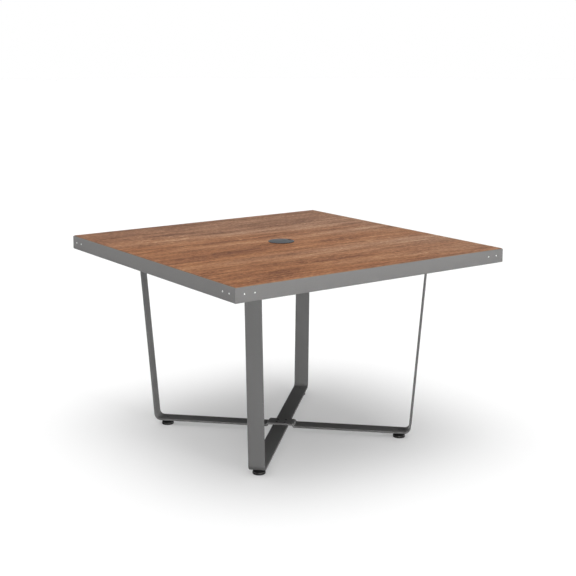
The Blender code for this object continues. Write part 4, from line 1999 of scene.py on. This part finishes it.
@dataclass
class Studio:
    """A pale floor, a soft dome that is bright overhead and low down, a front light and the camera."""

    floor_radius: float = 40.0
    floor_sides: int = 64
    floor_colour: float = 0.18
    seen_floor_colour: float = 0.68
    seen_floor_lift: float = 0.292
    horizon_light: float = 0.06
    zenith_light: float = 4.20
    dome_focus: float = 7.0
    dome_lean: Vector = field(default_factory=lambda: Vector((-0.08, -0.05, 0.99)))
    low_light: float = 16.8
    low_focus: float = 16.0
    key_strength: float = 1.61
    key_spread: float = math.radians(20.0)
    key_height: float = math.radians(7.0)
    key_bearing: float = math.radians(3.0)
    camera_place: Vector = field(default_factory=lambda: Vector((-2.5213, -3.5903, 1.5425)))
    camera_yaw: float = math.radians(35.42)
    camera_pitch: float = math.radians(8.26)
    focal_pixels: float = 1144.0
    middle_row: float = 205.0
    sensor: float = 36.0

    def build(self) -> None:
        """Set up the floor, the light and the camera."""
        self.lay_floor()
        self.hang_dome()
        self.hang_key()
        self.stand_camera()
        bpy.context.scene.view_settings.view_transform = "Standard"

    def lay_floor(self) -> None:
        """Lay a plain pale floor that keeps the table's shadow."""
        bm = bmesh.new()
        disc(bm, self.floor_radius, 0.0, self.floor_sides)
        mesh = bpy.data.meshes.new("studio_floor")
        bm.to_mesh(mesh)
        bm.free()
        mesh.materials.append(self.floor_material())
        floor = bpy.data.objects.new("studio_floor", mesh)
        bpy.context.collection.objects.link(floor)

    def floor_material(self) -> Material:
        """Mix the floor's material, which looks white away from the table.

        Returns:
            The material.
        """
        material = bpy.data.materials.new("studio_floor")
        material.use_nodes = True
        sketch = NodeSketch(material.node_tree)
        matt = {"Roughness": 1.0, "Specular IOR Level": 0.0}
        grey = opaque((self.floor_colour,) * 3)
        plain = sketch.add("ShaderNodeBsdfPrincipled", {**matt, "Base Color": grey})
        lifted = {
            **matt,
            "Base Color": opaque((self.seen_floor_colour,) * 3),
            "Emission Color": opaque((1.0, 1.0, 1.0)),
            "Emission Strength": self.seen_floor_lift,
        }
        seen = sketch.add("ShaderNodeBsdfPrincipled", lifted)
        feeds = {0: self.seen_rays(sketch), 1: plain.outputs[0], 2: seen.outputs[0]}
        mixed = sketch.add("ShaderNodeMixShader", feeds)
        sketch.add("ShaderNodeOutputMaterial", {"Surface": mixed.outputs[0]})
        return material

    @staticmethod
    def seen_rays(sketch: NodeSketch) -> NodeSocket:
        """Tell the rays that show the background from those that light the table.

        Args:
            sketch: Sketch of the floor's or the world's tree.

        Returns:
            Socket that is 1 for what the camera sees, straight, mirrored or through glass.
        """
        path = sketch.add("ShaderNodeLightPath").outputs
        seen = sketch.math("MAXIMUM", path["Is Camera Ray"], path["Is Glossy Ray"])
        return sketch.math("MAXIMUM", seen, path["Is Transmission Ray"])

    def hang_dome(self) -> None:
        """Surround the table with soft light from overhead and from low down, and show it as plain white."""
        world = bpy.data.worlds.new("studio_dome")
        world.use_nodes = True
        bpy.context.scene.world = world
        sketch = NodeSketch(world.node_tree)
        aim = sketch.add("ShaderNodeTexCoord").outputs["Generated"]
        rise = sketch.math("MAXIMUM", sketch.part(aim, 2), 0.0)
        overhead = sketch.vectors("DOT_PRODUCT", aim, self.dome_lean.normalized()).outputs["Value"]
        high = sketch.math("POWER", sketch.math("MAXIMUM", overhead, 0.0), self.dome_focus)
        low = sketch.math("POWER", sketch.math("SUBTRACT", 1.0, rise), self.low_focus)
        light = sketch.math("MULTIPLY_ADD", high, self.zenith_light, self.horizon_light)
        light = sketch.math("MULTIPLY_ADD", low, self.low_light, light)
        strength = sketch.add("ShaderNodeMix", {0: self.seen_rays(sketch), 2: light, 3: 1.0}).outputs[0]
        dome = sketch.add("ShaderNodeBackground", {"Color": (1.0, 1.0, 1.0, 1.0), "Strength": strength})
        sketch.add("ShaderNodeOutputWorld", {"Surface": dome.outputs[0]})

    def hang_key(self) -> None:
        """Hang a broad low light in front of the table."""
        data = bpy.data.lights.new("key_light", "SUN")
        data.energy = self.key_strength
        data.angle = self.key_spread
        key = bpy.data.objects.new("key_light", data)
        key.rotation_euler = (math.pi / 2 - self.key_height, 0.0, self.key_bearing)
        bpy.context.collection.objects.link(key)

    def stand_camera(self) -> None:
        """Stand the camera where the photograph was taken from."""
        data = bpy.data.cameras.new("camera")
        data.sensor_width = self.sensor
        data.lens = self.focal_pixels / IMAGE_SIZE * self.sensor
        data.shift_y = (self.middle_row - IMAGE_SIZE / 2) / IMAGE_SIZE
        camera = bpy.data.objects.new("camera", data)
        camera.location = self.camera_place
        camera.rotation_euler = (math.pi / 2 - self.camera_pitch, 0.0, -self.camera_yaw)
        bpy.context.collection.objects.link(camera)
        bpy.context.scene.camera = camera


def main() -> None:
    """Load the frame, build each sub-assembly on it and set up the studio."""
    logging.basicConfig(level=logging.INFO, format="%(message)s")
    bench = Workbench(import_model())
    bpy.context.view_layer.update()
    finishes = Finishes()
    for assembly in (TopPanel(), EdgeRails(), LegFrames(), Glides(), Grommet()):
        assembly.build(bench, finishes)
        LOG.info("%s is done", type(assembly).__name__)
    Studio().build()


if __name__ == "__main__":
    main()
